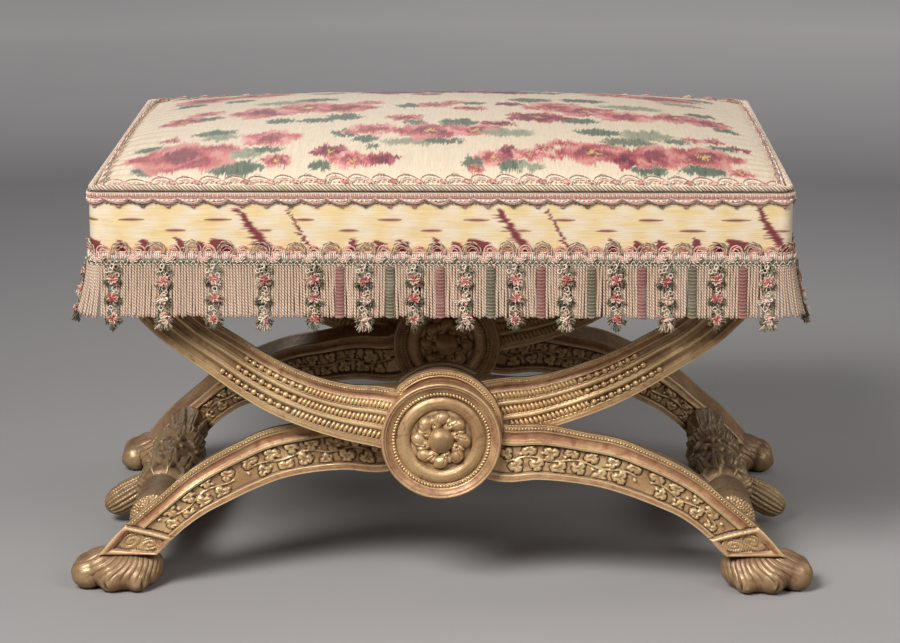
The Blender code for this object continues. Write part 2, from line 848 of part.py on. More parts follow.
def wall_mesh(name, half_x, half_y, low, high, thickness):
    """A flat band round the seat, with its thickness outwards of the given half sizes."""
    work = bmesh.new()
    loops = []
    for grow, z in ((0.0, low), (0.0, high), (thickness, high), (thickness, low)):
        path = rounded_rectangle(half_x + grow, half_y + grow, seat_corner_radius)
        loops.append([work.verts.new((x, y, z)) for x, y in path])
    loops.append(loops[0])
    count = len(loops[0])
    for first, second in zip(loops, loops[1:]):
        for i in range(count):
            j = (i + 1) % count
            work.faces.new((first[i], first[j], second[j], second[i]))
    return finish_mesh(work, name, smooth_angle=40)


def build_boxing():
    high = seam_height - touch_clearance
    mesh = wall_mesh("boxing_band", half_width - boxing_thickness, half_depth - boxing_thickness,
                     seat_underside_height, high, boxing_thickness)
    place("boxing_band", mesh, boxing_silk)


# Trimmings

def ring_cord(name, points, radius):
    """A cord that closes on itself, as a round-bevelled curve."""
    curve = bpy.data.curves.new(name, "CURVE")
    curve.dimensions = "3D"
    curve.bevel_depth = radius
    curve.bevel_resolution = 1
    spline = curve.splines.new("POLY")
    spline.points.add(len(points) - 1)
    for target, point in zip(spline.points, points):
        target.co = (*point, 1.0)
    spline.use_cyclic_u = True
    place(name, curve, trimming)


def build_top_trims():
    inset = edge_cord_radius
    height = seam_height + edge_cord_radius + touch_clearance
    path = rounded_rectangle(half_width - inset, half_depth - inset, seat_corner_radius)
    ring_cord("top_edge_cord", [(x, y, height) for x, y in path], edge_cord_radius)
    half_x, half_y = cover_half_sizes()
    points = []
    lift = top_gimp_radius + touch_clearance
    probe = top_gimp_inset * slope_probe_share
    path = rounded_rectangle(half_x - top_gimp_inset, half_y - top_gimp_inset,
                             seat_corner_radius, cover_corner_steps, top_gimp_steps)
    for x, y in path:
        here = crown_height(x, y, half_x, half_y)
        slope_x = (crown_height(x + probe, y, half_x, half_y)
                   - crown_height(x - probe, y, half_x, half_y)) / (2 * probe)
        slope_y = (crown_height(x, y + probe, half_x, half_y)
                   - crown_height(x, y - probe, half_x, half_y)) / (2 * probe)
        normal = Vector((-slope_x, -slope_y, 1.0)).normalized() * lift
        points.append((x + normal.x, y + normal.y,
                       seam_height + touch_clearance + here + normal.z))
    ring_cord("top_gimp", points, top_gimp_radius)


def build_bands():
    half_x = half_width + touch_clearance
    half_y = half_depth + touch_clearance
    high = seam_height - touch_clearance
    mesh = wall_mesh("upper_gimp", half_x, half_y, high - gimp_height, high, gimp_thickness)
    place("upper_gimp", mesh, trimming)
    low = seat_underside_height - heading_drop
    mesh = wall_mesh("fringe_heading", half_x, half_y, low, low + heading_height, heading_thickness)
    place("fringe_heading", mesh, trimming)


def fringe_mesh(name, half_run, face, turn):
    """A hanging skirt of fringe that swings out to its hem, full and longer where a hanger falls."""
    rings = []
    hangers = max(2, round(2 * half_run / hanger_pitch))
    columns = hangers * fringe_steps_per_hanger
    top = seat_underside_height - heading_drop - touch_clearance
    for column in range(columns + 1):
        along = 2 * column / columns - 1
        swell = -math.cos(2 * math.pi * hangers * (along + 1) / 2)
        settle = 1 - along ** fringe_corner_power
        ring = []
        for layer, rows in ((0.0, fringe_rows_shares), (1.0, reversed(fringe_rows_shares))):
            for down in rows:
                flare = fringe_flare * down ** fringe_flare_power
                reach = half_run + flare - touch_clearance - layer * fringe_thickness
                out = face + flare - layer * fringe_thickness
                out += fringe_fold_depth * swell * settle * down
                hem = fringe_length + hanger_drop * max(0.0, swell) ** 2 * settle
                ring.append(turn @ Vector((along * reach, -out, top - hem * down)))
        rings.append(ring)
    return loft_mesh(name, rings, smooth_angle=50)


def build_fringes():
    run = half_width + touch_clearance + heading_thickness
    face = half_depth + touch_clearance + heading_thickness
    skirts = (("front_fringe", 0, run, face), ("right_fringe", 1, face, run),
              ("rear_fringe", 2, run, face), ("left_fringe", 3, face, run))
    for name, quarter, half_run, out in skirts:
        turn = Matrix.Rotation(math.pi / 2 * quarter, 3, "Z")
        place(name, fringe_mesh(name, half_run, out, turn), trimming)


build_crosses()
build_roundels()
build_pins()
build_paws()
build_stretchers()
build_boards()
build_webbing()
build_base_cloth()
build_stuffing()
build_cover()
build_boxing()
build_top_trims()
build_bands()
build_fringes()
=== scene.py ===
"""Looks of the giltwood stool: carved gilt crosses, flowered silk, looped gimps and a knotted fringe.

X runs across the stool, Y from front to back and Z up, in metres. Sizes come from the frame's nodes
where it has them. The edges of the members repeat the shares that their solids are drawn with.
"""
import math

import bmesh
import bpy
import numpy as np
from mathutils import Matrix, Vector


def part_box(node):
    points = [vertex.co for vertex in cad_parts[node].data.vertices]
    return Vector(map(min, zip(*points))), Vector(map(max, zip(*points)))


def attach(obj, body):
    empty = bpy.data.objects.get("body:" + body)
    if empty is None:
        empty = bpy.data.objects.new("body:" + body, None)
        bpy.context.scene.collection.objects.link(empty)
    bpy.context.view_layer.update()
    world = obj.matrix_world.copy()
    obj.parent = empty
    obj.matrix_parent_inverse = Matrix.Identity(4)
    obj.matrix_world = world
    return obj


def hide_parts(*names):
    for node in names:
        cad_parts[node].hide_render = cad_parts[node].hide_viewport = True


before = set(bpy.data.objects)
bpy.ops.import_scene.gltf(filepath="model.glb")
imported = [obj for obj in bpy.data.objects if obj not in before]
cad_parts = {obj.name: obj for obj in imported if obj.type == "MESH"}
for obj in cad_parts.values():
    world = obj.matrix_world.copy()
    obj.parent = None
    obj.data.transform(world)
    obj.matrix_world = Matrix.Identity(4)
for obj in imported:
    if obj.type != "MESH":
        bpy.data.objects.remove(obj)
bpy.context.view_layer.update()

# The sizes that the frame gives, in metres
boxing_low, boxing_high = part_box("boxing_band")
half_width = boxing_high.x
half_depth = boxing_high.y
underside = boxing_low.z
gap = 0.0003
seam = boxing_high.z + gap
cover_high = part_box("top_cover")[1]
crown_rise = cover_high.z - seam - gap
corner_radius = 0.012
roundel_low, roundel_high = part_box("front_outer_roundel")
cross_height = (roundel_high.z + roundel_low.z) / 2
cross_face = -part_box("front_cross_outer_member")[0].y - 0.0005
member_thickness = 0.032
ankle_thickness = 0.050
eye_radius = 0.0575
eye_lift = 0.0095
eye_height = cross_height + eye_lift
paw_height = 0.036
foot_reach = 0.3615

# The edges of a member as the solids have them: shares across, then up, of its upper and lower edge
arm_shares = (
    (0.167, 0.605, 0.167, 0.424),
    (0.252, 0.610, 0.291, 0.452),
    (0.334, 0.626, 0.401, 0.487),
    (0.419, 0.656, 0.504, 0.531),
    (0.501, 0.697, 0.595, 0.586),
    (0.577, 0.744, 0.683, 0.649),
    (0.647, 0.788, 0.765, 0.706),
    (0.717, 0.847, 0.844, 0.771),
    (0.775, 0.918, 0.917, 0.859),
    (0.808, 1.000, 0.963, 1.000),
)
leg_shares = (
    (0.152, 0.500, 0.152, 0.329),
    (0.277, 0.494, 0.257, 0.334),
    (0.382, 0.473, 0.349, 0.326),
    (0.476, 0.453, 0.432, 0.310),
    (0.559, 0.416, 0.509, 0.284),
    (0.636, 0.376, 0.575, 0.256),
    (0.703, 0.328, 0.633, 0.228),
    (0.763, 0.272, 0.680, 0.194),
    (0.816, 0.224, 0.714, 0.162),
    (0.869, 0.172, 0.741, 0.129),
)
ankle_shares = (0.921, 0.763)
crossing_shares = (0.571, 0.376)
set_back_shares = (0.375, 0.74)
swell_shares = (0.375, 0.70)


# Meshes

def make_mesh(name, points, faces, attributes=None):
    """A mesh of numpy points and a list of face arrays, with float or colour values on its points."""
    mesh = bpy.data.meshes.new(name)
    mesh.vertices.add(len(points))
    mesh.vertices.foreach_set("co", np.ascontiguousarray(points, np.float32).ravel())
    loops = np.concatenate([face.ravel() for face in faces]).astype(np.int32)
    sizes = np.concatenate([np.full(len(face), face.shape[1]) for face in faces])
    starts = np.concatenate([[0], np.cumsum(sizes)[:-1]]).astype(np.int32)
    mesh.loops.add(len(loops))
    mesh.loops.foreach_set("vertex_index", loops)
    mesh.polygons.add(len(sizes))
    mesh.polygons.foreach_set("loop_start", starts)
    mesh.update(calc_edges=True)
    for key, values in (attributes or {}).items():
        if values.ndim == 1:
            mark_value(mesh, key, values)
        else:
            full = np.ones((len(values), 4), np.float32)
            full[:, :3] = values
            layer = mesh.attributes.new(key, "FLOAT_COLOR", "POINT")
            layer.data.foreach_set("color", full.ravel())
    mesh.shade_smooth()
    return mesh


def mark_value(mesh, name, values):
    layer = mesh.attributes.new(name, "FLOAT", "POINT")
    layer.data.foreach_set("value", np.asarray(values, np.float32).ravel())


def grid_faces(rows, columns, close_rows=False, close_columns=False, flip=False):
    """Quads between the points of a grid that is stored row by row."""
    down = np.arange(rows if close_rows else rows - 1)
    over = np.arange(columns if close_columns else columns - 1)
    a, b = np.meshgrid(down, over, indexing="ij")
    a = a.ravel()
    b = b.ravel()
    next_a = (a + 1) % rows
    next_b = (b + 1) % columns
    corners = [a * columns + b, a * columns + next_b, next_a * columns + next_b, next_a * columns + b]
    if flip:
        corners.reverse()
    return np.stack(corners, axis=1)


def capped_grid(rows, columns):
    """Faces of a tube whose rows of points are rings, with a cap on its first and its last ring."""
    ring = np.arange(columns)
    return [grid_faces(rows, columns, close_columns=True),
            np.stack([ring[::-1], (rows - 1) * columns + ring])]


def repeat_faces(faces, count, size):
    """The same faces for many meshes of one size whose points follow each other."""
    start = size * np.arange(count)[:, None, None]
    return [(face[None] + start).reshape(-1, face.shape[1]) for face in faces]


def grid_rim(rows, columns):
    """The points round the edge of a grid, in order."""
    index = np.arange(rows * columns).reshape(rows, columns)
    return np.concatenate([index[:-1, 0], index[-1, :-1], index[:0:-1, -1], index[0, :0:-1]])


def flip_if_inside_out(mesh):
    """Turn the faces of a closed mesh outwards, going by its signed volume."""
    work = bmesh.new()
    work.from_mesh(mesh)
    if work.calc_volume(signed=True) < 0:
        bmesh.ops.reverse_faces(work, faces=work.faces)
    work.to_mesh(mesh)
    work.free()


def closed_mesh(name, rings):
    """A closed mesh from rings of points, with its faces turned outwards."""
    mesh = make_mesh(name, rings.reshape(-1, 3), capped_grid(*rings.shape[:2]))
    flip_if_inside_out(mesh)
    return mesh


def join_soups(soups):
    """Join (points, faces, values) sets; a set's values are one per point or a single colour."""
    points = []
    faces = []
    values = []
    base = 0
    for soup_points, soup_faces, value in soups:
        points.append(soup_points)
        faces += [face + base for face in soup_faces]
        values.append(np.tile(value, (len(soup_points), 1)) if np.shape(value) == (3,) else value)
        base += len(soup_points)
    return np.concatenate(points), faces, np.concatenate(values)


def add_piece(name, mesh, material, nodes):
    """Link a piece, ride it on the stool's one body and let it stand for CAD nodes."""
    piece = bpy.data.objects.new(name, mesh)
    bpy.context.scene.collection.objects.link(piece)
    mesh.materials.append(material)
    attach(piece, "root")
    if nodes:
        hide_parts(*nodes)
    return piece


def add_beads(name, soup, material, node):
    """Link the beads that stand on a carving; they bring their own creases, which paint shade at their feet
    and a highlight on their crowns.
    """
    points, faces, crease = soup
    mesh = make_mesh(name, points, faces, {"crease": crease})
    add_piece(name, mesh, material, [node])


def normalise(vectors):
    length = np.linalg.norm(vectors, axis=-1, keepdims=True)
    return vectors / np.maximum(length, 1e-12)


def path_frames(paths, reference, closed):
    """Normal and binormal of many paths at once; no path runs along the reference."""
    if closed:
        tangents = np.roll(paths, -1, axis=1) - np.roll(paths, 1, axis=1)
    else:
        tangents = np.gradient(paths, axis=1)
    tangents = normalise(tangents)
    reference = np.broadcast_to(np.asarray(reference, float), tangents.shape)
    normals = normalise(np.cross(tangents, reference))
    return normals, np.cross(tangents, normals)


def tubes(paths, radius, reference, sides=5, closed=False):
    """Round tubes along many paths of equal length, as points and faces. Open ends are capped."""
    count, steps, _ = paths.shape
    normals, binormals = path_frames(paths, reference, closed)
    radius = np.broadcast_to(np.asarray(radius, float), (count, steps))[..., None, None]
    angle = 2 * np.pi * np.arange(sides) / sides
    ring = (np.cos(angle)[:, None] * normals[..., None, :]
            + np.sin(angle)[:, None] * binormals[..., None, :])
    points = paths[:, :, None, :] + radius * ring
    faces = [grid_faces(steps, sides, True, True)] if closed else capped_grid(steps, sides)
    return points.reshape(-1, 3), repeat_faces(faces, count, steps * sides)


def twist(paths, reference, offset, turns, plies=2, phase=0.0, closed=False):
    """The paths of the plies of cords that turn round the given paths."""
    normals, binormals = path_frames(paths, reference, closed)
    steps = paths.shape[1]
    share = np.arange(steps) / (steps if closed else steps - 1)
    made = []
    for ply in range(plies):
        angle = 2 * np.pi * (turns * share + ply / plies) + phase
        swing = np.cos(angle)[None, :, None] * normals + np.sin(angle)[None, :, None] * binormals
        made.append(paths + offset * swing)
    return np.concatenate(made)


def hermite(stations, samples_at):
    """A smooth curve through stations (n, k) read at fractional station numbers."""
    stations = np.asarray(stations, float)
    count = len(stations)
    slopes = np.gradient(stations, axis=0)
    base = np.clip(np.floor(samples_at).astype(int), 0, count - 2)
    u = (samples_at - base)[:, None]
    p0, p1 = stations[base], stations[base + 1]
    m0, m1 = slopes[base], slopes[base + 1]
    return ((2 * u**3 - 3 * u**2 + 1) * p0 + (u**3 - 2 * u**2 + u) * m0
            + (-2 * u**3 + 3 * u**2) * p1 + (u**3 - u**2) * m1)


def wrapped(value, middle, period):
    """How far a repeating value lies from its nearest middle."""
    return np.mod(value - middle + period / 2, period) - period / 2


def smoothstep(low, high, value):
    u = np.clip((value - low) / (high - low), 0.0, 1.0)
    return u * u * (3 - 2 * u)


def bump(value, centre, half):
    """A round ridge of height 1 over a half width."""
    u = (value - centre) / half
    return np.sqrt(np.clip(1 - u * u, 0.0, 1.0))


def mark_creases(mesh, reach=0.0011):
    """Store on each point how far it stands proud of its neighbours (above 0) or lies sunk (below 0).

    reach is the height, in metres, that counts as a full ridge.
    """
    def read(items, key, width, kind=float):
        values = np.empty(len(items) * width, kind)
        items.foreach_get(key, values)
        return values.reshape(-1, width)

    points = read(mesh.vertices, "co", 3)
    normals = read(mesh.vertices, "normal", 3)
    edges = read(mesh.edges, "vertices", 2, np.int32)
    here, there = np.concatenate([edges, edges[:, ::-1]]).T
    count = len(points)
    degree = np.maximum(np.bincount(here, minlength=count), 1)
    blurred = points
    for _ in range(9):
        blurred = np.stack([np.bincount(here, weights=blurred[there, axis], minlength=count) / degree
                            for axis in range(3)], axis=1)
    proud = np.einsum("ij,ij->i", points - blurred, normals)
    mark_value(mesh, "crease", np.clip(proud / reach, -1.5, 1.5))
    mark_value(mesh, "upward", np.clip(normals[:, 2], 0, 1) ** 2)


def ball_body(lift, sides):
    """Points of a ball of radius 1, in rings at these heights."""
    angle = 2 * np.pi * np.arange(sides) / sides
    flat = np.sqrt(1 - lift**2)
    return np.stack([flat[:, None] * np.cos(angle), flat[:, None] * np.sin(angle),
                     np.repeat(lift[:, None], sides, axis=1)], axis=-1).reshape(-1, 3)


def blobs(centres, axes, rings, sides):
    """Closed ellipsoids: each from its centre and three half axes (the last one points outwards)."""
    lift = np.concatenate([[-0.97], np.linspace(-1, 1, rings + 2)[1:-1], [0.97]])
    body = ball_body(lift, sides)
    points = centres[:, None, :] + np.einsum("bi,nij->nbj", body, axes)
    faces = repeat_faces(capped_grid(len(lift), sides), len(centres), len(body))
    # Set creases: the gilding paints shade at the foot of each bead and a highlight on its crown
    crease = np.tile(-0.85 + 1.25 * smoothstep(-0.05, 0.65, body[:, 2]), len(centres))
    return points.reshape(-1, 3), faces, crease


# Materials

def feed(node, inputs):
    """Set a node's inputs: a number or a colour as it is, the output of another node as a link."""
    for key, value in inputs.items():
        if isinstance(value, bpy.types.NodeSocket):
            node.id_data.links.new(value, node.inputs[key])
        else:
            node.inputs[key].default_value = value


def new_material(name):
    """A node material, its shader, and a function that adds a node and feeds it."""
    material = bpy.data.materials.new(name)
    material.use_nodes = True
    tree = material.node_tree

    def add(kind, inputs=None, **settings):
        node = tree.nodes.new(kind)
        for key, value in settings.items():
            setattr(node, key, value)
        feed(node, inputs or {})
        return node

    return material, tree.nodes["Principled BSDF"], add


def colour(red, green, blue):
    """A colour written as it looks on a screen, from 0 to 255, in the renderer's linear values."""
    def linear(value):
        value /= 255
        return value / 12.92 if value <= 0.04045 else ((value + 0.055) / 1.055) ** 2.4
    return linear(red), linear(green), linear(blue), 1.0


def maths(add, operation, *values):
    return add("ShaderNodeMath", dict(enumerate(values)), operation=operation).outputs[0]


def stored(add, name, output="Fac"):
    """What the mesh stores on its points under a name."""
    return add("ShaderNodeAttribute", attribute_name=name).outputs[output]


def blend_colours(add, share, first, second, mode="MIX"):
    """Mix two colours by a share; each may be a colour or the output of a node."""
    return add("ShaderNodeMix", {0: share, 6: first, 7: second}, data_type="RGBA",
               blend_type=mode).outputs[2]


def coats(add, tone, *layers):
    """Lay colours over a tone one after another, each with its share."""
    for share, over in layers:
        tone = blend_colours(add, share, tone, over)
    return tone


def ramp(add, value, low, high, first=0.0, second=1.0):
    """Map a value between low and high to a number between first and second, and hold it there."""
    return add("ShaderNodeMapRange", {"Value": value, "From Min": low, "From Max": high,
                                      "To Min": first, "To Max": second}).outputs[0]


def noise(add, scale, detail, roughness, stretch=None, distortion=0.0):
    """Noise in the object's own coordinates; stretch gives its scale along each axis."""
    place = add("ShaderNodeTexCoord").outputs["Object"]
    if stretch:
        place = add("ShaderNodeMapping", {"Vector": place, "Scale": stretch}).outputs[0]
    return add("ShaderNodeTexNoise", {"Vector": place, "Scale": scale, "Detail": detail,
                                      "Roughness": roughness, "Distortion": distortion}).outputs["Fac"]


def bumped(add, height, strength, distance):
    """The normal of a surface that a height roughens."""
    return add("ShaderNodeBump", {"Height": height, "Strength": strength,
                                  "Distance": distance}).outputs[0]


def gilt_material(name, dust=0.40, bright=1.0):
    """Old water gilding: pale gold, reddish bole on the plain bars, painted shade in the hollows, painted
    highlights on the ridges and settled dust.

    The mesh says where: crease is the relief, bole the plain bars and upward what looks up.
    """
    material, shader, add = new_material(name)
    crease = stored(add, "crease")
    bars = stored(add, "bole")
    broad = noise(add, 22.0, 4.0, 0.6)
    fine = noise(add, 240.0, 4.0, 0.65)
    grit = noise(add, 900.0, 2.0, 0.6)
    streak = noise(add, 70.0, 5.0, 0.7, distortion=0.6)

    def lit(red, green, blue):
        return colour(red * bright, green * bright, blue * bright)

    gold = blend_colours(add, ramp(add, broad, 0.35, 0.68), lit(238, 200, 148), lit(208, 160, 110))
    gold = blend_colours(add, ramp(add, fine, 0.54, 0.74, 0.0, 0.6), gold, colour(158, 106, 64))
    # Bole shows through on the plain bars, and in rubbed patches everywhere
    rubbed = maths(add, "MULTIPLY", ramp(add, streak, 0.38, 0.58, 0.35, 1.0), bars)
    patches = ramp(add, streak, 0.56, 0.67, 0.0, 0.70)
    gold = coats(add, gold, (rubbed, lit(184, 122, 88)), (patches, colour(140, 88, 58)))
    # Painted highlight: the ridges are made paler and brighter
    ridge = ramp(add, crease, 0.15, 0.75, 0.0, 0.7)
    # Painted shade: the hollows are made near black-brown
    sunk = ramp(add, crease, -0.12, -0.85, 0.0, 0.92)
    gold = coats(add, gold, (ridge, lit(252, 226, 172)), (sunk, colour(52, 34, 20)))
    settled = maths(add, "MULTIPLY", ramp(add, crease, 0.30, -0.30), ramp(add, broad, 0.42, 0.60))
    settled = maths(add, "MULTIPLY", settled, dust)
    lying = maths(add, "MULTIPLY", stored(add, "upward"), ramp(add, fine, 0.35, 0.60, 0.35, 0.75))
    gold = coats(add, gold, (settled, colour(120, 98, 78)), (lying, colour(124, 98, 78)))
    metal = maths(add, "MULTIPLY", ramp(add, crease, -0.5, 0.1, 0.05, 0.42),
                  ramp(add, bars, 0.0, 1.0, 1.0, 0.55))
    feed(shader, {"Base Color": gold, "Metallic": metal,
                  "Roughness": ramp(add, fine, 0.3, 0.7, 0.26, 0.46),
                  "Normal": bumped(add, maths(add, "ADD", fine, grit), 0.40, 0.0006)})
    return material


# Members

def member_stations(is_outer):
    """Rows of upper x, upper z, lower x, lower z, outer face and thickness, with the arm on the left."""
    set_back = 0.0 if is_outer else member_thickness + gap
    rows = []

    def add(top_x, top_z, low_x, low_z, reach, swell):
        share = (abs(top_x) + abs(low_x)) / 2
        face = cross_face - set_back * (1.0 - float(smoothstep(*set_back_shares, share)))
        thickness = member_thickness + swell * float(smoothstep(*swell_shares, share))
        rows.append((top_x * reach, top_z * underside, low_x * reach, low_z * underside,
                     face, thickness))

    for top_x, top_z, low_x, low_z in reversed(arm_shares):
        add(-top_x, top_z, -low_x, low_z, half_width, 0.0)
    add(0.0, crossing_shares[0], 0.0, crossing_shares[1], half_width, 0.0)
    leg_swell = ankle_thickness - member_thickness
    for top_x, top_z, low_x, low_z in leg_shares:
        add(top_x, top_z, low_x, low_z, foot_reach, leg_swell)
    ankle_share = (paw_height + gap) / underside
    add(ankle_shares[0], ankle_share, ankle_shares[1], ankle_share, foot_reach, leg_swell)
    return np.array(rows)


def member_curve(is_outer, step):
    """The stations read at an even step along the member, with the distance from the crossing."""
    stations = member_stations(is_outer)
    fine = np.linspace(0, len(stations) - 1, 4000)
    rows = hermite(stations, fine)
    middle = (rows[:, 0:2] + rows[:, 2:4]) / 2
    length = np.concatenate([[0], np.cumsum(np.linalg.norm(np.diff(middle, axis=0), axis=1))])
    even = np.linspace(0, length[-1], int(length[-1] / step) + 1)
    at = np.interp(even, length, fine)
    crossing = np.interp(len(arm_shares), fine, length)
    return hermite(stations, at), even - crossing, at


flute_depth = 0.0036
panel_depth = 0.0042
gadroon_pitch = 0.0040
pearl_pitch = 0.0086
large_pearl = 0.0030
small_pearl = 0.0014
flutes = ((0.235, 0.365, 0.205), (0.475, 0.615, 0.212), (0.725, 0.870, 0.216))
gadroon_start = 0.050
gadroon_stop = 0.142
bead_pitch = 0.0029
bead_share = 0.0675
bead_axes = (0.00135, 0.00115, 0.0011)


def fillet_relief(across):
    """What arms and legs share: rounded rims, and a seat for beads between two sunk lines."""
    depth = np.full(across.shape, 0.0003)
    depth += 0.0009 * (1 - bump(across, 0.0, 0.03)) * (across < 0.03)
    depth += 0.0010 * bump(across, 0.028, 0.010) + 0.0012 * bump(across, 0.108, 0.012)
    depth += 0.0009 * bump(across, bead_share, 0.026)
    depth += 0.0008 * (1 - bump(across, 1.0, 0.03)) * (across > 0.97)
    return depth


def arm_relief(across):
    """Depth of an arm's carving in metres: a fillet for beads, a cavetto and three flutes."""
    depth = fillet_relief(across)
    depth += 0.0028 * bump(across, 0.165, 0.050) + 0.0010 * bump(across, 0.222, 0.008)
    for start, stop, _ in flutes:
        u = (across - start) / (stop - start)
        depth += flute_depth * np.sqrt(np.clip(4 * u * (1 - u), 0, 1))
        for edge in (start - 0.014, stop + 0.014):
            depth += 0.0012 * bump(across, edge, 0.007)
    for ridge in (0.420, 0.670):
        depth -= 0.0016 * bump(across, ridge, 0.040)
    return depth + 0.0008 * bump(across, 0.915, 0.008)


def bar_share(across, is_leg):
    """Where a member's plain bars show their bole."""
    rim = 0.25 * (across < 0.03)
    if is_leg:
        return 0.95 * bump(across, 0.205, 0.085) ** 0.3 + rim + 0.85 * smoothstep(0.885, 0.90, across)
    return 0.95 * bump(across, 0.165, 0.055) ** 0.3 + rim + 0.45 * smoothstep(0.93, 0.95, across)


leaf_radius = 0.0077
leaf_height = 0.0036
leaf_pitch = 0.0104
stem_swing = 0.0022
stem_wave = 0.050
sprays = ((0.062, 0.196), (0.212, 0.292))


def leaf_bump(u, v, radius, height):
    """A three-lobed leaf with sunk veins and the groove that is cut round it; u runs to its tip."""
    angle = np.arctan2(v, u)
    distance = np.hypot(u, v)
    lobe = np.abs(np.cos(1.5 * angle))
    edge = radius * (0.52 + 0.50 * lobe**0.7 + 0.05 * np.cos(9 * angle))
    share = distance / edge
    dome = np.clip(1 - share**4, 0, 1) ** 0.5
    turned = np.abs(np.mod(angle + np.pi / 3, 2 * np.pi / 3) - np.pi / 3)
    vein = np.exp(-(distance * np.sin(turned) / 0.00050) ** 2) * (distance > radius * 0.1)
    cup = 0.35 * np.exp(-(distance / (0.40 * radius)) ** 2)
    leaf = height * dome * (0.95 - cup) - 0.0009 * vein * (dome > 0.25)
    groove = 0.0010 * np.exp(-((share - 1.10) / 0.08) ** 2)
    return np.where(share < 1, leaf, 0.0), groove


def spray_relief(along, offset, seed):
    """Raised height of ivy sprays on a panel; offset is the distance from the panel's middle."""
    raised = np.zeros(offset.shape)
    cut = np.zeros(offset.shape)
    random = np.random.default_rng(seed)
    line = along[:, 0]
    for start, stop in sprays:
        phase = random.uniform(0, 2 * np.pi)
        inside = (along > start) & (along < stop)
        stem = stem_swing * np.sin(2 * np.pi * (along - start) / stem_wave + phase)
        rod = 0.0016 * bump(offset, stem, 0.0010)
        raised = np.maximum(raised, np.where(inside, rod, 0.0))
        for index, centre in enumerate(np.arange(start + 0.005, stop - 0.002, leaf_pitch)):
            hand = 1 if index % 2 else -1
            centre += random.uniform(-0.0012, 0.0012)
            middle = stem_swing * math.sin(2 * np.pi * (centre - start) / stem_wave + phase)
            out = middle + hand * random.uniform(0.0066, 0.0082)
            size = leaf_radius * random.uniform(0.84, 1.14)
            lean = hand * random.uniform(0.3, 1.5)
            rows = slice(*np.searchsorted(line, (centre - 2 * size, centre + 2 * size)))
            a = along[rows] - centre
            b = offset[rows] - out
            u = a * math.cos(lean) + b * math.sin(lean)
            v = -a * math.sin(lean) + b * math.cos(lean)
            leaf, groove = leaf_bump(u, v, size, leaf_height * random.uniform(0.85, 1.1))
            raised[rows] = np.maximum(raised[rows], leaf)
            cut[rows] = np.maximum(cut[rows], groove)
            berry = random.uniform(0.0015, 0.0020)
            b = offset[rows] - (middle - hand * 0.0046)
            a = along[rows] - centre - 0.004
            ball = np.sqrt(np.clip(berry**2 - a**2 - b**2, 0, None)) * 1.3
            raised[rows] = np.maximum(raised[rows], ball)
    return raised - cut * (raised < 0.0004)


cuff_top_outer = 19.60
cuff_top_inner = 19.12
cuff_bar = 0.0052
cuff_height = 0.030


def leg_relief(along, across, width, at, seed):
    """Depth of a leg's carving in metres, and its bole: fillet, cavetto, sunk panel of ivy and cuff."""
    depth = fillet_relief(across) + 0.0022 * bump(across, 0.205, 0.080)
    depth += 0.0010 * bump(across, 0.297, 0.008) + 0.0007 * bump(across, 0.345, 0.007)
    depth += 0.0007 * bump(across, 0.915, 0.008)
    wall = smoothstep(0.355, 0.378, across) * (1 - smoothstep(0.862, 0.885, across))
    room = smoothstep(0.37, 0.41, across) * (1 - smoothstep(0.83, 0.87, across))
    ivy = spray_relief(along, (across - 0.62) * width, seed)
    depth = depth + wall * panel_depth - room * ivy
    # The cuff: a mitred frame of bars round a scrolled inset
    top = cuff_top_outer + (cuff_top_inner - cuff_top_outer) * across
    end = len(arm_shares) + 1 + len(leg_shares)
    down = (at - top) / (end - top)
    from_side = np.minimum(across / 1.45, 1 - across) * width
    from_edge = np.minimum(np.minimum(down, 1 - down) * cuff_height, from_side)
    bar = 0.0012 * smoothstep(0.0, 0.0009, from_edge)
    bar = bar * (1 - smoothstep(cuff_bar - 0.0009, cuff_bar, from_edge))
    bar += 0.0006 * bump(from_edge, cuff_bar / 2, 0.0011)
    u = (across - 0.53) * width
    v = (down - 0.5) * cuff_height
    curl = np.abs(u) - 0.0085
    turn = np.hypot(curl, v)
    scroll = 0.0011 * np.abs(np.sin(turn / 0.0017 + np.arctan2(v, curl) * 0.5)) ** 0.7 * (turn < 0.0095)
    stipple = 0.0007 * np.sin(u * 2 * np.pi / 0.0025) * np.sin(v * 2 * np.pi / 0.0025)
    inset = np.where(from_edge > cuff_bar + 0.0006, 0.0020 - scroll - stipple, 0.0)
    cuff = 0.0003 - bar + inset
    bole = np.where(down > 0, np.where(from_edge > cuff_bar, 0.15, 1.0), bar_share(across, True))
    return np.where(down > 0, cuff, np.where(down > -0.05, depth + 0.0012, depth)), bole


top_fall = 0.0068


def member_ring(rows, across_front, across_back, front_depth, back_depth, side, end, fall):
    """Points round a member: its outer face down, its lower edge, its inner face up, its top edge."""
    def point(across, depth):
        x = rows[:, 0:1] + (rows[:, 2:3] - rows[:, 0:1]) * across
        z = rows[:, 1:2] + (rows[:, 3:4] - rows[:, 1:2]) * across
        return np.stack([side * x, end * depth, z + np.zeros_like(x)], axis=-1)

    face = rows[:, 4:5]
    back = face - rows[:, 5:6]
    front_points = point(across_front, face - front_depth)
    back_points = point(across_back[:, ::-1], back + back_depth[:, ::-1])
    shares = np.linspace(0, 1, 10)[1:-1][None, :]
    hollow = 0.0009 * np.sin(np.pi * shares) ** 0.5
    nudge = hollow / 0.060
    near = face - front_depth[:, -1:]
    far = back + back_depth[:, -1:]
    low_points = point(1 - nudge, near + (far - near) * shares)
    near = back + back_depth[:, :1]
    far = face - front_depth[:, :1]
    top_points = point(nudge + fall * (1 - shares), near + (far - near) * shares)
    return np.concatenate([front_points, low_points, back_points, top_points], axis=1)


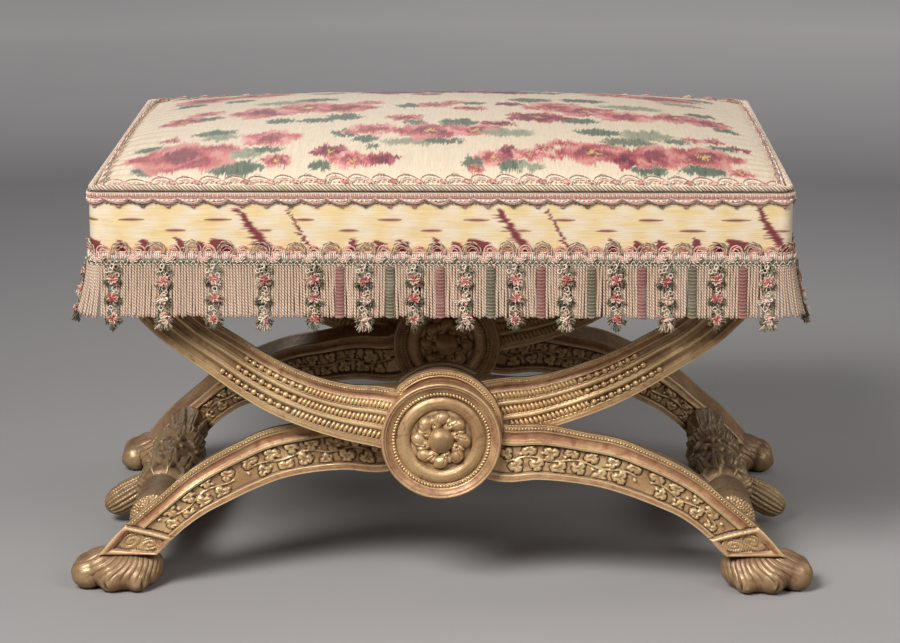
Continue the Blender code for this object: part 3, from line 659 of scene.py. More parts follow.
def place_on_member(rows, along, at, across, side, end, is_front):
    """Centres on a face of a member, with its directions there: along it, across it and outwards."""
    here = np.stack([np.interp(at, along, rows[:, column]) for column in range(6)], axis=1)
    ahead = np.stack([np.interp(at + 0.001, along, rows[:, column]) for column in range(4)], axis=1)
    top, low = here[:, 0:2], here[:, 2:4]
    spot = top + (low - top) * across
    further = ahead[:, 0:2] + (ahead[:, 2:4] - ahead[:, 0:2]) * across
    run = normalise(further - spot)
    down = normalise(low - top)
    down = normalise(down - run * (run * down).sum(axis=1, keepdims=True))
    y = here[:, 4] if is_front else here[:, 4] - here[:, 5]
    out = 1.0 if is_front else -1.0
    flat = np.zeros(len(at))
    centres = np.stack([side * spot[:, 0], end * y, spot[:, 1]], axis=1)
    along_it = np.stack([side * run[:, 0], flat, run[:, 1]], axis=1)
    across_it = np.stack([side * down[:, 0], flat, down[:, 1]], axis=1)
    outward = np.stack([flat, flat + end * out, flat], axis=1)
    return centres, along_it, across_it, outward


def build_beads(node, rows, along, width, side, end, is_outer, material):
    """The rolls and pearls in an arm's flutes and the fine beads along a member's top fillet."""
    soups = []

    def put(at, across, half_along, half_across, half_out, sink, lean, is_front, rings, sides):
        centres, run, down, out = place_on_member(rows, along, at, across, side, end, is_front)
        first = normalise(run + lean * down) * half_along
        second = normalise(down - lean * run) * np.reshape(half_across, (-1, 1))
        axes = np.stack([first, second, out * half_out], axis=1)
        soups.append(blobs(centres - out * sink, axes, rings, sides))

    for is_front in (True, False):
        for start, stop, pearls_end in flutes:
            middle = (start + stop) / 2
            rolls = -np.arange(gadroon_start, gadroon_stop - 0.002, gadroon_pitch)
            half = np.interp(rolls, along, width) * (stop - start) / 2 * 1.22
            put(rolls, middle, 0.0022, half, 0.0036, 0.0022, 0.34, is_front, 5, 10)
            large = -np.arange(gadroon_stop + 0.0024, pearls_end, pearl_pitch)
            put(large, middle, large_pearl, large_pearl, large_pearl, 0.0016, 0.0, is_front, 7, 12)
            small = large[:-1] - pearl_pitch / 2
            put(small, middle, small_pearl * 1.15, small_pearl, small_pearl, 0.0019, 0.0, is_front, 4, 8)
        if is_front:
            arm = np.arange(along[0] + 0.004, -0.050 if is_outer else -0.062, bead_pitch)
            leg = np.arange(0.060, along[-1] - 0.032, bead_pitch)
            put(np.concatenate([arm, leg]), bead_share, *bead_axes, 0.0006, 0.0, True, 3, 6)
    add_beads(node + "_beads", join_soups(soups), material, node)


def swept_mesh(name, rings, flip):
    """A mesh of rings along a member, with a flat cap on each end."""
    count, size, _ = rings.shape
    caps = np.stack([np.arange(size), (count - 1) * size + np.arange(size)[::-1]])
    return make_mesh(name, rings.reshape(-1, 3), [grid_faces(count, size, close_columns=True, flip=flip),
                                                  caps[:, ::-1] if flip else caps])


def build_member(name, side, is_outer, end, seed, material):
    rows, along, at = member_curve(is_outer, 0.0009)
    width = np.linalg.norm(rows[:, 0:2] - rows[:, 2:4], axis=1)
    build_beads(name, rows, along, width, side, end, is_outer, material)
    along, at, width = along[:, None], at[:, None], width[:, None]
    fall = top_fall / width * smoothstep(0.030, 0.075, np.abs(along))

    def face_depth(count, seed, begin):
        across = begin + (1 - begin) * np.linspace(0, 1, count)[None, :]
        leg, leg_bole = leg_relief(along, across, width, at, seed)
        is_arm = along < 0
        return (across, np.where(is_arm, arm_relief(across), leg),
                np.where(is_arm, bar_share(across, False), leg_bole))

    across_front, front_depth, front_bole = face_depth(80, seed, 0.0)
    across_back, back_depth, back_bole = face_depth(56, seed + 100, fall)
    rings = member_ring(rows, across_front, across_back, front_depth, back_depth, side, end, fall)
    mesh = swept_mesh(name, rings, side * end > 0)
    mark_creases(mesh)
    rims = np.full((len(rings), 8), 0.55)
    mark_value(mesh, "bole", np.concatenate([front_bole, rims, back_bole[:, ::-1], rims], axis=1))
    add_piece(name + "_carving", mesh, material, [name])


def build_members(material):
    for end, where in ((-1, "front"), (1, "rear")):
        build_member(where + "_cross_outer_member", 1, True, end, 3 + end, material)
        build_member(where + "_cross_inner_member", -1, False, end, 13 + end, material)


# The hump over the crossing, with its mouldings

hump_radius = eye_radius + 0.0022
hump_fall = 0.0052


def build_hump(name, end, node, material):
    rows, _, _ = member_curve(True, 0.001)
    edge_x = rows[:, 0]
    edge_z = rows[:, 1] - eye_height
    edge_angle = np.degrees(np.arctan2(edge_x, edge_z))
    edge_radius = np.hypot(edge_x, edge_z)
    left = (edge_x < -0.025) & (edge_x > -0.105)
    order = np.argsort(edge_angle[left])
    angles = np.linspace(-50.0, 99.0, 400)
    outline = np.interp(angles, edge_angle[left][order], edge_radius[left][order])
    outline = np.where(angles < 0, outline, 0.0)
    sharp = 320.0
    outline = np.log(np.exp(outline * sharp) + math.exp(hump_radius * sharp)) / sharp
    outline = (outline - 0.0035 * (1 - smoothstep(-50.0, -43.0, angles)))[:, None]
    inward = np.linspace(0.0, 0.026, 64)
    depth = 0.0004 * (1 - bump(inward, 0.0, 0.0012)) * (inward < 0.0012)
    depth = depth + 0.0009 * bump(inward, 0.0030, 0.0007) + 0.0009 * bump(inward, 0.0068, 0.0007)
    depth = depth + 0.0022 * bump(inward, 0.0115, 0.0034) + 0.0007 * bump(inward, 0.0160, 0.0006)
    proud = 0.0006 - depth - 0.0008 * bump(inward, 0.0049, 0.0014)
    theta = np.radians(angles)[:, None]

    def polar(radius, y):
        return np.stack([radius * np.sin(theta), end * y + 0 * radius,
                         eye_height + radius * np.cos(theta)], axis=-1)

    front = polar(outline - inward, cross_face + proud)
    back_shares = np.linspace(0, 1, 14)[1:]
    dip = 0.0008 * np.sin(np.pi * back_shares) ** 0.5 + hump_fall * back_shares
    wall = polar(outline - dip, cross_face - member_thickness * back_shares)
    inner = polar(outline - 0.028, cross_face - member_thickness)
    mesh = swept_mesh(name, np.concatenate([front[:, ::-1], wall, inner], axis=1), end > 0)
    mark_creases(mesh)
    face_bole = 0.9 * bump(inward, 0.0115, 0.0038) ** 0.3 + 0.3 * (inward < 0.0010)
    bole = np.concatenate([face_bole[::-1], np.full(wall.shape[1] + 1, 0.6)])
    mark_value(mesh, "bole", np.tile(bole, (len(angles), 1)))
    # The bead line of the arm's fillet runs on over the hump
    steps = np.diff(front[:, 8], axis=0)
    run = np.concatenate([[0], np.cumsum(np.hypot(steps[:, 0], steps[:, 2]))])
    at = np.arange(0.002, run[-1] - 0.002, bead_pitch)
    spot_x, spot_z = (np.interp(at, run, front[:, 12, axis]) for axis in (0, 2))
    middles = np.stack([spot_x, np.full(len(at), end * (cross_face + 0.0001)), spot_z], axis=1)
    ahead = normalise(np.gradient(middles, axis=0))
    out = np.tile([0.0, float(end), 0.0], (len(middles), 1))
    axes = np.stack([ahead, np.cross(out, ahead), out], axis=1) * np.reshape(bead_axes, (3, 1))
    add_beads(name + "_beads", blobs(middles, axes, 3, 6), material, node)
    add_piece(name, mesh, material, [node])


# Roundels and knobs

roundel_profile = (
    (0.0000, 0.0042), (0.0120, 0.0042), (0.0268, 0.0040), (0.0286, 0.0034), (0.0296, 0.0030),
    (0.0306, 0.0052), (0.0324, 0.0070), (0.0352, 0.0082), (0.0386, 0.0079), (0.0414, 0.0066),
    (0.0428, 0.0048), (0.0436, 0.0044), (0.0444, 0.0060), (0.0474, 0.0062), (0.0480, 0.0071),
    (0.0490, 0.0074), (0.0506, 0.0080), (0.0522, 0.0092), (0.0530, 0.0102), (0.0534, 0.0106),
    (0.0540, 0.0098), (0.0544, 0.0106), (0.0556, 0.0115), (0.0568, 0.0110), (0.0574, 0.0098),
    (0.0580, 0.0080), (0.0580, 0.0000),
)
petal_count = 8
rope_count = 92
rope_ring = 0.0459


def petal_relief(radius, angle):
    """Eight domed petals like commas round the knob, with a drilled dot between each two."""
    cell_angle = 2 * np.pi / petal_count
    height = np.zeros(np.broadcast(radius, angle).shape)
    for twirl, ring, wide, deep, lift in ((0.0, 0.0216, 0.0079, 0.0070, 0.0066),
                                          (0.26, 0.0165, 0.0056, 0.0056, 0.0056),
                                          (0.42, 0.0205, 0.0034, 0.0040, 0.0050)):
        side_step = wrapped(angle, twirl, cell_angle) * radius + 0.28 * (radius - ring)
        share = (side_step / wide) ** 2 + ((radius - ring) / deep) ** 2
        height = np.maximum(height, lift * np.sqrt(np.clip(1 - share, 0, 1)))
    cell = np.mod(angle + 0.02, cell_angle) - cell_angle / 2
    dot = np.hypot(cell * radius, radius - 0.0165)
    outer = np.mod(angle + 0.16, cell_angle) - cell_angle / 2
    fold = np.exp(-((outer * radius + 0.5 * (radius - 0.017)) / 0.0006) ** 2)
    fold = fold * (radius > 0.0135) * (radius < 0.0245)
    return height - 0.0030 * np.exp(-(dot / 0.0010) ** 2) - 0.0010 * fold * (height > 0.001)


def build_roundel(name, end, facing, material):
    low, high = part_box(name)
    out = end * facing
    back = low.y if out > 0 else high.y
    profile = np.array(roundel_profile)
    length = np.concatenate([[0], np.cumsum(np.hypot(*np.diff(profile, axis=0).T))])
    even = np.linspace(0, length[-1], 110)
    radius = np.maximum(np.interp(even, length, profile[:, 0]), 0.004)[:, None]
    height = np.interp(even, length, profile[:, 1])[:, None]
    angle = np.linspace(0, 2 * np.pi, 520, endpoint=False)[None, :]
    # The last points go down the rim and keep their profile
    on_face = np.arange(len(even))[:, None] < len(even) - 13
    rings = 0.00018 * np.sin(radius * 2 * np.pi / 0.0011) * (radius > 0.0488) * (radius < 0.0525)
    height = height + np.where(on_face, rings, 0.0)
    height = height + np.where(on_face & (radius < 0.0285), petal_relief(radius, angle), 0.0)
    points = np.stack([-out * radius * np.cos(angle), back + out * height,
                       cross_height + radius * np.sin(angle)], axis=-1)
    mesh = closed_mesh(name, points)
    mark_creases(mesh)
    mark_value(mesh, "bole", 0.75 * smoothstep(0.0482, 0.0492, radius) * np.ones_like(angle))
    turn = 2 * np.pi * np.arange(rope_count) / rope_count
    outward = np.stack([np.cos(turn), 0 * turn, np.sin(turn)], axis=1)
    onward = np.stack([-np.sin(turn), 0 * turn, np.cos(turn)], axis=1)
    middles = np.array([0, back + out * 0.0064, cross_height]) + rope_ring * outward
    axes = np.stack([normalise(outward + 0.75 * onward) * 0.0021,
                     normalise(onward - 0.75 * outward) * 0.0014,
                     np.tile([0.0, out * 0.0018, 0.0], (rope_count, 1))], axis=1)
    add_beads(name + "_rope", blobs(middles, axes, 5, 8), material, name)
    add_piece(name + "_carving", mesh, material, [name])


# Paws

# Lobes of a paw: outward reach, distance towards the viewer, height and three half sizes, in millimetres
paw_lobes = (
    (311.0, 0.0, 17.0, 39.0, 33.0, 22.0), (306.0, 0.0, 24.0, 33.5, 27.0, 16.0),
    (328.0, 3.0, 20.0, 26.0, 25.0, 19.0), (346.5, -8.0, 14.5, 14.5, 15.5, 15.0),
    (345.0, 10.5, 15.5, 16.5, 15.5, 16.0), (320.5, 21.5, 15.0, 14.5, 14.5, 15.2),
    (296.5, 21.0, 13.0, 13.0, 12.5, 13.2), (320.0, -22.0, 14.0, 14.0, 13.5, 14.2),
    (296.0, -20.5, 13.0, 13.5, 12.5, 13.0),
)
paw_middle = (0.3140, 0.0, 0.0150)
claw_lobes = (
    (361.0, -8.0, 8.0), (360.0, 12.5, 8.0), (324.0, 36.0, 8.0), (297.0, 33.0, 7.0),
)


def ray_reach(directions, lobe):
    """How far rays from the middle of a paw run until they leave a lobe; 0 where they miss it."""
    x, d, z, rx, rd, rz = (value / 1000 for value in lobe)
    size = np.array([rx, rd, rz])
    ray = directions / size
    start = (np.array(paw_middle) - np.array([x, d, z])) / size
    a = (ray**2).sum(axis=-1)
    b = (ray * start).sum(axis=-1)
    c = (start**2).sum() - 1
    inside = b * b - a * c
    return np.where(inside > 0, (-b + np.sqrt(np.maximum(inside, 0))) / a, 0.0).clip(0)


def build_paw(name, side, end, material):
    """A lion's paw: toes grown together, with fur that sweeps down and outwards."""
    rows = 190
    columns = 300
    lift = np.linspace(-math.pi / 2 + 0.01, math.pi / 2 - 0.01, rows)[:, None]
    turn = 2 * np.pi * np.arange(columns)[None] / columns
    directions = np.stack([np.cos(lift) * np.cos(turn), np.cos(lift) * np.sin(turn),
                           np.sin(lift) + 0 * turn], axis=-1)
    soft = 1100.0
    reach = sum(np.exp(soft * ray_reach(directions, lobe)) for lobe in paw_lobes)
    reach = np.log(reach) / soft
    points = np.array(paw_middle) + reach[..., None] * directions
    # Fur: locks that fan out from the ankle, bent like an S, with fine hairs between them
    x = points[..., 0] - 0.300
    d = points[..., 1]
    z = points[..., 2]
    around = np.arctan2(d, x)
    sweep = around + 0.20 * np.sin(1.6 * np.pi * z / 0.038) * np.sign(d)
    locks = np.abs(np.sin(13 * sweep))
    hairs = np.abs(np.sin(39 * sweep + 0.8 * np.sin(13 * sweep)))
    high = smoothstep(0.009, 0.018, z)
    tip = 1 - 0.75 * smoothstep(0.338, 0.352, points[..., 0])
    fur = high * tip * (0.0013 * (locks**0.6 - 1) + 0.00050 * (hairs**0.7 - 1))
    # Knuckles and the folds between the toes
    fold = np.zeros_like(z)
    for place in (0.2, 0.92, 1.9, 2.6, -0.75, -1.9, -2.6):
        fold += np.exp(-(wrapped(around, place, 2 * np.pi) / 0.05) ** 2)
    fold *= (1 - high) * smoothstep(0.002, 0.006, z)
    points += (fur - 0.0022 * fold)[..., None] * directions
    for cx, cd, cz in claw_lobes:
        near = np.exp(-(((points[..., 0] - cx / 1000) / 0.0042) ** 2 + ((d - cd / 1000) / 0.0036) ** 2
                        + ((z - cz / 1000) / 0.0052) ** 2))
        points += (0.0016 * near)[..., None] * directions
    points[..., 2] = np.clip(points[..., 2], 0.0, 0.0388)
    points[..., 0] = np.minimum(points[..., 0], foot_reach + 0.0009)
    plane = cross_face - ankle_thickness / 2 + 0.0045
    placed = np.stack([side * points[..., 0], end * (plane + points[..., 1]), points[..., 2]], axis=-1)
    mesh = closed_mesh(name + "_carved", placed)
    mark_creases(mesh, 0.0008)
    mark_value(mesh, "bole", np.full(rows * columns, 0.55))
    add_piece(name + "_carved", mesh, material, [name])


# Side stretchers

stretcher_axis_x = 0.2838
stretcher_axis_z = 0.0584
stretcher_radius = 0.0290
stretcher_half = 0.1702
stretcher_shares = (
    (0.0, 0.86), (0.10, 1.0), (0.22, 0.90), (0.28, 0.68), (0.36, 0.92), (0.45, 0.98),
    (0.49, 0.66), (0.66, 0.62), (0.84, 0.76), (1.0, 0.84),
)
bud_length = 0.083
bud_radius = 0.0160
bud_slope = 0.63
bud_shares = ((0.0, 0.70), (0.20, 0.66), (0.42, 0.86), (0.62, 1.0), (0.80, 0.95), (0.92, 0.72), (0.985, 0.30))


def leaf_blade(u, v, teeth):
    """Relief of one pointed leaf: u from its foot to its tip, v across it, both about 0 to 1."""
    half = np.sin(np.pi * np.clip(u, 0, 1) ** 0.75) ** 0.8 * (1 + 0.13 * np.cos(2 * np.pi * teeth * u))
    inside = np.clip(1 - (v / np.maximum(half, 0.02)) ** 2, 0, 1)
    vein = np.exp(-(v / 0.10) ** 2) + 0.5 * np.exp(-((np.mod(np.abs(v) * 3 - u * 4, 1.0) - 0.5) / 0.12) ** 2)
    return inside**0.5 * (1 - 0.35 * vein) * ((u > 0) & (u < 1))


def stretcher_relief(along, around, rng):
    """Carving of a stretcher: along from the front to the rear, around from its outer side upwards."""
    degrees = np.degrees(around)
    height = np.zeros_like(along)
    # Collars of leaves on both sides of the middle
    for start, stop, lift, shift, teeth in ((0.018, 0.078, 0.0052, 0.0, 5.0),
                                            (0.050, 0.165, 0.0046, 0.5, 9.0),
                                            (-0.018, -0.080, 0.0052, 0.0, 5.0)):
        u = (along - start) / (stop - start)
        v = 2 * (np.mod(degrees / 40 + shift, 1.0) - 0.5)
        height = np.maximum(height, lift * leaf_blade(u, v, teeth))
    # Long flutes towards the rear leg
    flute = np.abs(np.sin(np.radians(degrees) * 5.0 + 9 * (along - 0.05)))
    rear = smoothstep(0.060, 0.075, along) * (1 - smoothstep(0.158, 0.166, along))
    height += 0.0022 * rear * (flute**0.6 - 0.6)
    # A rosette of five petals on the upper outer side of the middle, and berries round it
    for middle in (78.0, -8.0, 168.0):
        across = np.radians(wrapped(degrees, middle, 360)) * stretcher_radius
        radius = np.hypot(along, across)
        angle = np.arctan2(across, along)
        petal = (0.62 + 0.38 * np.abs(np.cos(2.5 * angle))) * 0.0165
        lobe = np.clip(1 - (radius / petal) ** 2, 0, 1) ** 0.5
        rib = 1 - 0.35 * np.exp(-(np.sin(2.5 * angle) / 0.16) ** 2) * (radius > 0.004)
        height = np.maximum(height, 0.0058 * lobe * rib)
        height = np.maximum(height, 0.0072 * np.clip(1 - (radius / 0.0045) ** 2, 0, 1) ** 0.5)
    # A stippled leaf on the outer side, in front of the middle
    u = (-along - 0.020) / 0.088
    v = wrapped(degrees, 8, 360) / 34
    leaf = leaf_blade(u, v, 7.0)
    stipple = np.sin(along * 2 * np.pi / 0.0036) * np.sin(around * stretcher_radius * 2 * np.pi / 0.0036)
    height = np.maximum(height, (0.0056 + 0.0010 * stipple) * leaf)
    # Berries scattered in the gaps near the middle
    for _ in range(26):
        place = rng.uniform(-0.022, 0.022)
        middle = rng.uniform(-60, 200)
        across = np.radians(wrapped(degrees, middle, 360)) * stretcher_radius
        radius = np.hypot(along - place, across)
        height = np.maximum(height, 0.0040 * np.clip(1 - (radius / 0.0034) ** 2, 0, 1) ** 0.5)
    return height


def hanging_bud(side):
    """Rings of a stretcher's bud: pleats along it, notched by rows of small beads."""
    u = np.linspace(0, 0.985, 150)[:, None]
    turn = 2 * np.pi * np.arange(132)[None] / 132
    shares = np.asarray(bud_shares)
    body = bud_radius * np.interp(u, shares[:, 0], shares[:, 1])
    pleat = np.abs(np.cos(9 * turn))
    beads = np.abs(np.sin(np.pi * u * bud_length / 0.0030))
    body = body - 0.0018 + 0.0022 * pleat**0.7 * (0.74 + 0.26 * beads) * smoothstep(0.22, 0.32, u)
    lean = math.atan(bud_slope)
    axis = np.array([side * math.cos(lean), 0.0, -math.sin(lean)])
    up = np.array([side * math.sin(lean), 0.0, math.cos(lean)])
    start = np.array([side * stretcher_axis_x, 0.0, stretcher_axis_z])
    return (start + (u * bud_length)[..., None] * axis + (body * np.cos(turn))[..., None] * up
            + (body * np.sin(turn))[..., None] * np.array([0.0, 1.0, 0.0]))


def build_stretcher(name, side, material):
    rng = np.random.default_rng(17 if side < 0 else 18)
    columns = 190
    along = np.linspace(-stretcher_half, stretcher_half, 340)[:, None]
    around = 2 * np.pi * np.arange(columns)[None] / columns
    shares = np.asarray(stretcher_shares)
    swell = np.interp(np.abs(along), shares[:, 0] * stretcher_half, shares[:, 1])
    kernel = np.hanning(13) / np.hanning(13).sum()
    swell = np.convolve(np.pad(swell[:, 0], 6, mode="edge"), kernel, mode="valid")[:, None]
    # The front end is a plain block with faintly flat sides
    block = 1 - smoothstep(-0.100, -0.082, along)
    flat = np.abs(np.cos(around - math.pi / 4)) ** 8 + np.abs(np.sin(around - math.pi / 4)) ** 8
    square = 1 / np.maximum(flat, 1e-9) ** (1 / 8)
    relief = stretcher_relief(along + 0 * around, around + 0 * along, rng)
    grain = np.sin(along * 2 * np.pi / 0.0044) * np.sin(around * stretcher_radius * 2 * np.pi / 0.0044)
    plain = stretcher_radius * 0.80 * (1 + 0.10 * (square - 1)) + 0.0008 * grain * (along < -0.150)
    carved = stretcher_radius * swell - 0.0040 + relief
    radius = carved + (plain - carved) * block

    def placed(radius, y):
        return np.stack([side * (stretcher_axis_x + radius * np.cos(around)), y + 0 * radius,
                         stretcher_axis_z + radius * np.sin(around)], axis=-1)

    # The front end is a stippled leaf rosette, where it shows beside the leg
    inward = np.linspace(1.0, 0.03, 26)[:-1][::-1][:, None]
    leaf = np.abs(np.cos(3.5 * around)) ** 0.5 * np.sin(np.pi * np.clip(inward, 0, 1)) ** 0.6
    dots = np.sin(radius[0] * inward * 2 * np.pi / 0.0036) * np.sin(around * 30)
    bulge = 0.0030 * (1 - inward**3) + 0.0022 * leaf * (1 - inward**8) + 0.0007 * dots * (inward > 0.2)
    bar = np.concatenate([placed(radius[0] * inward, -stretcher_half - bulge), placed(radius, along)])
    for part, points in (("_carved_bar", bar), ("_ribbed_bud", hanging_bud(side))):
        mesh = closed_mesh(name + part, points)
        mark_creases(mesh)
        add_piece(name + part, mesh, material, [name])


# Silk cover, with its warp-printed sprays

crown_power_across = 0.38
crown_power_deep = 0.50


def crown_height(x, y):
    """Height of the domed top above the seam."""
    across = np.clip(1.0 - (x / cover_high.x) ** 2, 0.0, 1.0)
    deep = np.clip(1.0 - (y / cover_high.y) ** 2, 0.0, 1.0)
    return crown_rise * across ** crown_power_across * deep ** crown_power_deep


def crown_surface(x, y):
    return seam + gap + crown_height(x, y)


# The dyes, as they look
cream = (238, 219, 192)
rose_dyes = {
    "rose": {"edge": (224, 154, 144), "petal": (204, 110, 108), "shade": (166, 72, 80),
             "heart": (128, 54, 66), "eye": (226, 186, 104)},
    "pink": {"edge": (238, 182, 168), "petal": (222, 134, 130), "shade": (196, 92, 96),
             "heart": (150, 66, 76), "eye": (228, 190, 110)},
    "maroon": {"edge": (190, 96, 100), "petal": (152, 60, 74), "shade": (118, 44, 58),
               "heart": (92, 40, 52), "eye": (222, 180, 100)},
}
leaf_dyes = {"dark": (94, 108, 90), "pale": (154, 156, 130), "grey": (110, 118, 100)}

# Sprays: centre x and y, half sizes along x and y in centimetres, and what is printed there
sprays_on_silk = (
    (-27.2, -20.6, 2.2, 1.7, "dark"), (-19.4, -21.4, 2.8, 1.8, "dark"), (-22.3, -9.4, 2.4, 1.3, "dark"),
    (-21.6, -11.4, 2.0, 1.2, "pale"), (-28.4, -13.2, 1.5, 1.1, "dark"), (-26.6, -10.6, 1.1, 1.2, "rose"),
    (-24.6, -17.4, 5.6, 4.6, "rose eyeless"), (-16.6, -12.6, 3.1, 3.0, "pink eyeless"),
    (-18.6, -17.6, 1.8, 1.8, "pale"), (-15.6, -19.8, 1.5, 1.7, "rose"), (-16.6, -16.6, 1.6, 1.0, "dark"),
    (-11.4, -21.2, 1.2, 1.2, "dark"), (-10.6, -17.6, 1.9, 1.8, "maroon"), (-8.4, -19.8, 2.4, 2.0, "pink"),
    (-5.6, -19.8, 1.7, 1.5, "maroon eyeless"), (-6.6, -16.4, 0.7, 0.7, "dark"),
    (5.0, -19.4, 2.2, 1.9, "pink"), (6.4, -17.8, 0.9, 2.0, "maroon eyeless"), (8.4, -18.6, 1.8, 1.7, "pink"),
    (6.6, -21.3, 1.3, 1.5, "dark"), (3.0, -20.6, 1.1, 1.4, "dark"), (3.3, -22.0, 0.9, 0.7, "rose"),
    (9.8, -16.6, 1.0, 1.1, "rose"), (10.8, -18.9, 1.0, 1.0, "pink"), (8.6, -21.4, 1.4, 0.9, "pale"),
    (19.8, -10.8, 2.9, 2.2, "pale"), (15.2, -10.6, 2.5, 1.4, "dark"), (17.9, -13.8, 2.8, 1.6, "grey"),
    (19.6, -21.8, 1.9, 1.3, "dark"), (24.8, -21.2, 2.6, 1.5, "dark"), (28.2, -21.2, 1.5, 1.2, "pink"),
    (14.4, -17.6, 3.6, 3.1, "rose"), (20.4, -18.0, 3.2, 3.4, "rose eyeless"), (25.0, -17.2, 3.9, 3.3, "rose"),
    (11.6, -15.2, 1.8, 1.2, "pink eyeless"), (17.4, -19.4, 1.3, 2.2, "maroon eyeless"),
    (24.3, -11.4, 1.2, 1.1, "pink"), (26.4, -10.8, 1.1, 1.1, "rose"), (27.2, -13.2, 1.8, 0.9, "dark"),
    (28.8, -12.4, 1.2, 1.0, "maroon eyeless"), (22.6, -12.6, 1.4, 1.0, "grey"),
    (-9.4, -11.6, 1.5, 1.4, "dark"), (-7.4, -14.0, 1.4, 1.3, "dark"), (-3.0, -15.0, 3.2, 1.3, "pale"),
    (0.2, -14.8, 2.2, 1.1, "dark"), (-6.8, -10.4, 2.9, 2.3, "pink eyeless"), (-1.2, -11.2, 3.6, 3.0, "rose"),
    (3.2, -10.8, 2.8, 2.4, "pink"), (6.3, -11.6, 3.0, 1.6, "pale"), (1.6, -7.6, 2.2, 1.5, "dark"),
    (-3.8, -5.4, 2.0, 1.4, "rose eyeless"), (-2.8, -7.6, 1.4, 1.0, "grey"),
    (5.4, -8.0, 1.8, 1.1, "maroon eyeless"),
    (-26.2, -1.4, 2.4, 2.3, "rose"), (-24.2, 1.6, 2.2, 1.6, "pink eyeless"), (-23.4, -1.6, 1.6, 1.0, "dark"),
    (-16.8, 5.4, 3.0, 1.5, "pale"), (-13.2, 6.8, 2.4, 1.5, "dark"), (-16.2, -5.6, 1.6, 1.4, "dark"),
    (-12.6, -6.0, 2.0, 1.2, "dark"), (-9.8, -4.6, 2.0, 1.8, "dark"), (-18.2, -0.4, 3.4, 3.2, "rose eyeless"),
    (-13.8, 1.4, 3.6, 3.6, "pink"), (-10.0, 0.6, 3.2, 3.0, "rose eyeless"), (-7.6, 3.6, 1.6, 1.4, "pink"),
    (-3.6, 1.2, 1.5, 1.3, "dark"), (-1.0, 1.6, 1.8, 1.7, "rose"), (1.0, 3.2, 1.6, 1.3, "pink"),
    (2.6, -0.6, 1.9, 1.3, "rose eyeless"), (3.0, 2.8, 1.3, 1.1, "dark"),
    (8.8, 5.8, 2.4, 1.7, "dark"), (14.2, 6.4, 2.6, 1.5, "dark"), (19.0, 3.0, 3.6, 1.7, "pale"),
    (13.4, -6.0, 2.2, 1.3, "dark"), (9.4, -4.8, 3.3, 2.3, "maroon"), (11.2, 1.2, 3.4, 3.2, "pink eyeless"),
    (14.2, -0.8, 3.2, 3.0, "rose"), (18.2, -2.6, 3.6, 2.6, "pink eyeless"),
    (6.6, 2.6, 1.6, 1.3, "maroon eyeless"),
    (23.4, -1.2, 2.4, 2.4, "rose"), (26.4, -1.8, 2.6, 2.3, "rose eyeless"), (26.0, 2.2, 1.8, 1.3, "dark"),
    (28.2, -4.6, 1.6, 1.1, "dark"),
    (-26.6, 9.4, 2.0, 1.3, "dark"), (-21.4, 9.4, 1.8, 1.2, "dark"), (-25.0, 13.6, 3.8, 3.2, "rose eyeless"),
    (-19.6, 15.0, 3.4, 3.0, "rose"), (-16.0, 17.6, 2.0, 1.4, "dark"), (-12.4, 13.4, 2.2, 1.4, "pale"),
    (-9.4, 16.2, 2.6, 1.6, "dark"), (-5.4, 14.0, 3.6, 3.0, "maroon eyeless"), (0.6, 15.4, 4.0, 3.4, "maroon"),
    (6.2, 14.2, 3.4, 2.9, "maroon eyeless"), (10.2, 13.8, 2.4, 1.5, "dark"), (-2.0, 10.6, 1.8, 1.1, "dark"),
    (14.2, 17.0, 2.6, 1.5, "dark"), (17.6, 14.8, 3.5, 3.0, "pink"), (22.8, 13.2, 3.9, 3.2, "rose eyeless"),
    (26.8, 15.4, 1.8, 1.4, "dark"), (24.6, 8.8, 2.8, 1.4, "pale"), (-13.6, 21.0, 2.4, 1.5, "rose"),
    (10.8, 20.8, 2.4, 1.5, "pink"), (-27.0, 20.2, 1.8, 1.3, "dark"), (20.6, 20.6, 2.2, 1.3, "dark"),
)


def mixed(under, over, share):
    return under + (np.asarray(over, float) - under) * share[..., None]


def print_rose(u, v, dyes, turn, has_eye):
    """Coverage and colour of a printed rose in its own unit circle."""
    angle = np.arctan2(v, u)
    outline = 1 + 0.11 * np.cos(5 * angle + turn) + 0.06 * np.cos(9 * angle + 2.3 * turn)
    share = np.hypot(u, v) / outline
    cover = 1 - smoothstep(0.93, 1.03, share)
    tone = np.tile(np.asarray(dyes["petal"], float), (*share.shape, 1))
    tone = mixed(tone, dyes["edge"], smoothstep(0.72, 0.95, share))
    fold = np.sin(3 * angle + 6.5 * share + turn)
    lit = smoothstep(0.62, 0.80, fold) * smoothstep(0.35, 0.5, share)
    tone = mixed(tone, dyes["edge"], 0.85 * lit)
    shaded = smoothstep(0.35, 0.65, -fold) * (1 - smoothstep(0.80, 0.95, share))
    tone = mixed(tone, dyes["shade"], 0.9 * shaded)
    heart = 0.42 + 0.10 * np.sin(2 * angle + turn)
    tone = mixed(tone, dyes["heart"], 0.9 * (1 - smoothstep(heart - 0.06, heart + 0.06, share)))
    if has_eye:
        eye = 0.17 + 0.07 * np.sin(3 * angle + turn)
        tone = mixed(tone, dyes["eye"], 1 - smoothstep(eye - 0.04, eye + 0.05, share))
    else:
        glint = smoothstep(0.75, 0.95, np.sin(angle - turn)) * (np.abs(share - 0.30) < 0.07)
        tone = mixed(tone, dyes["petal"], 0.8 * glint)
    return cover, tone


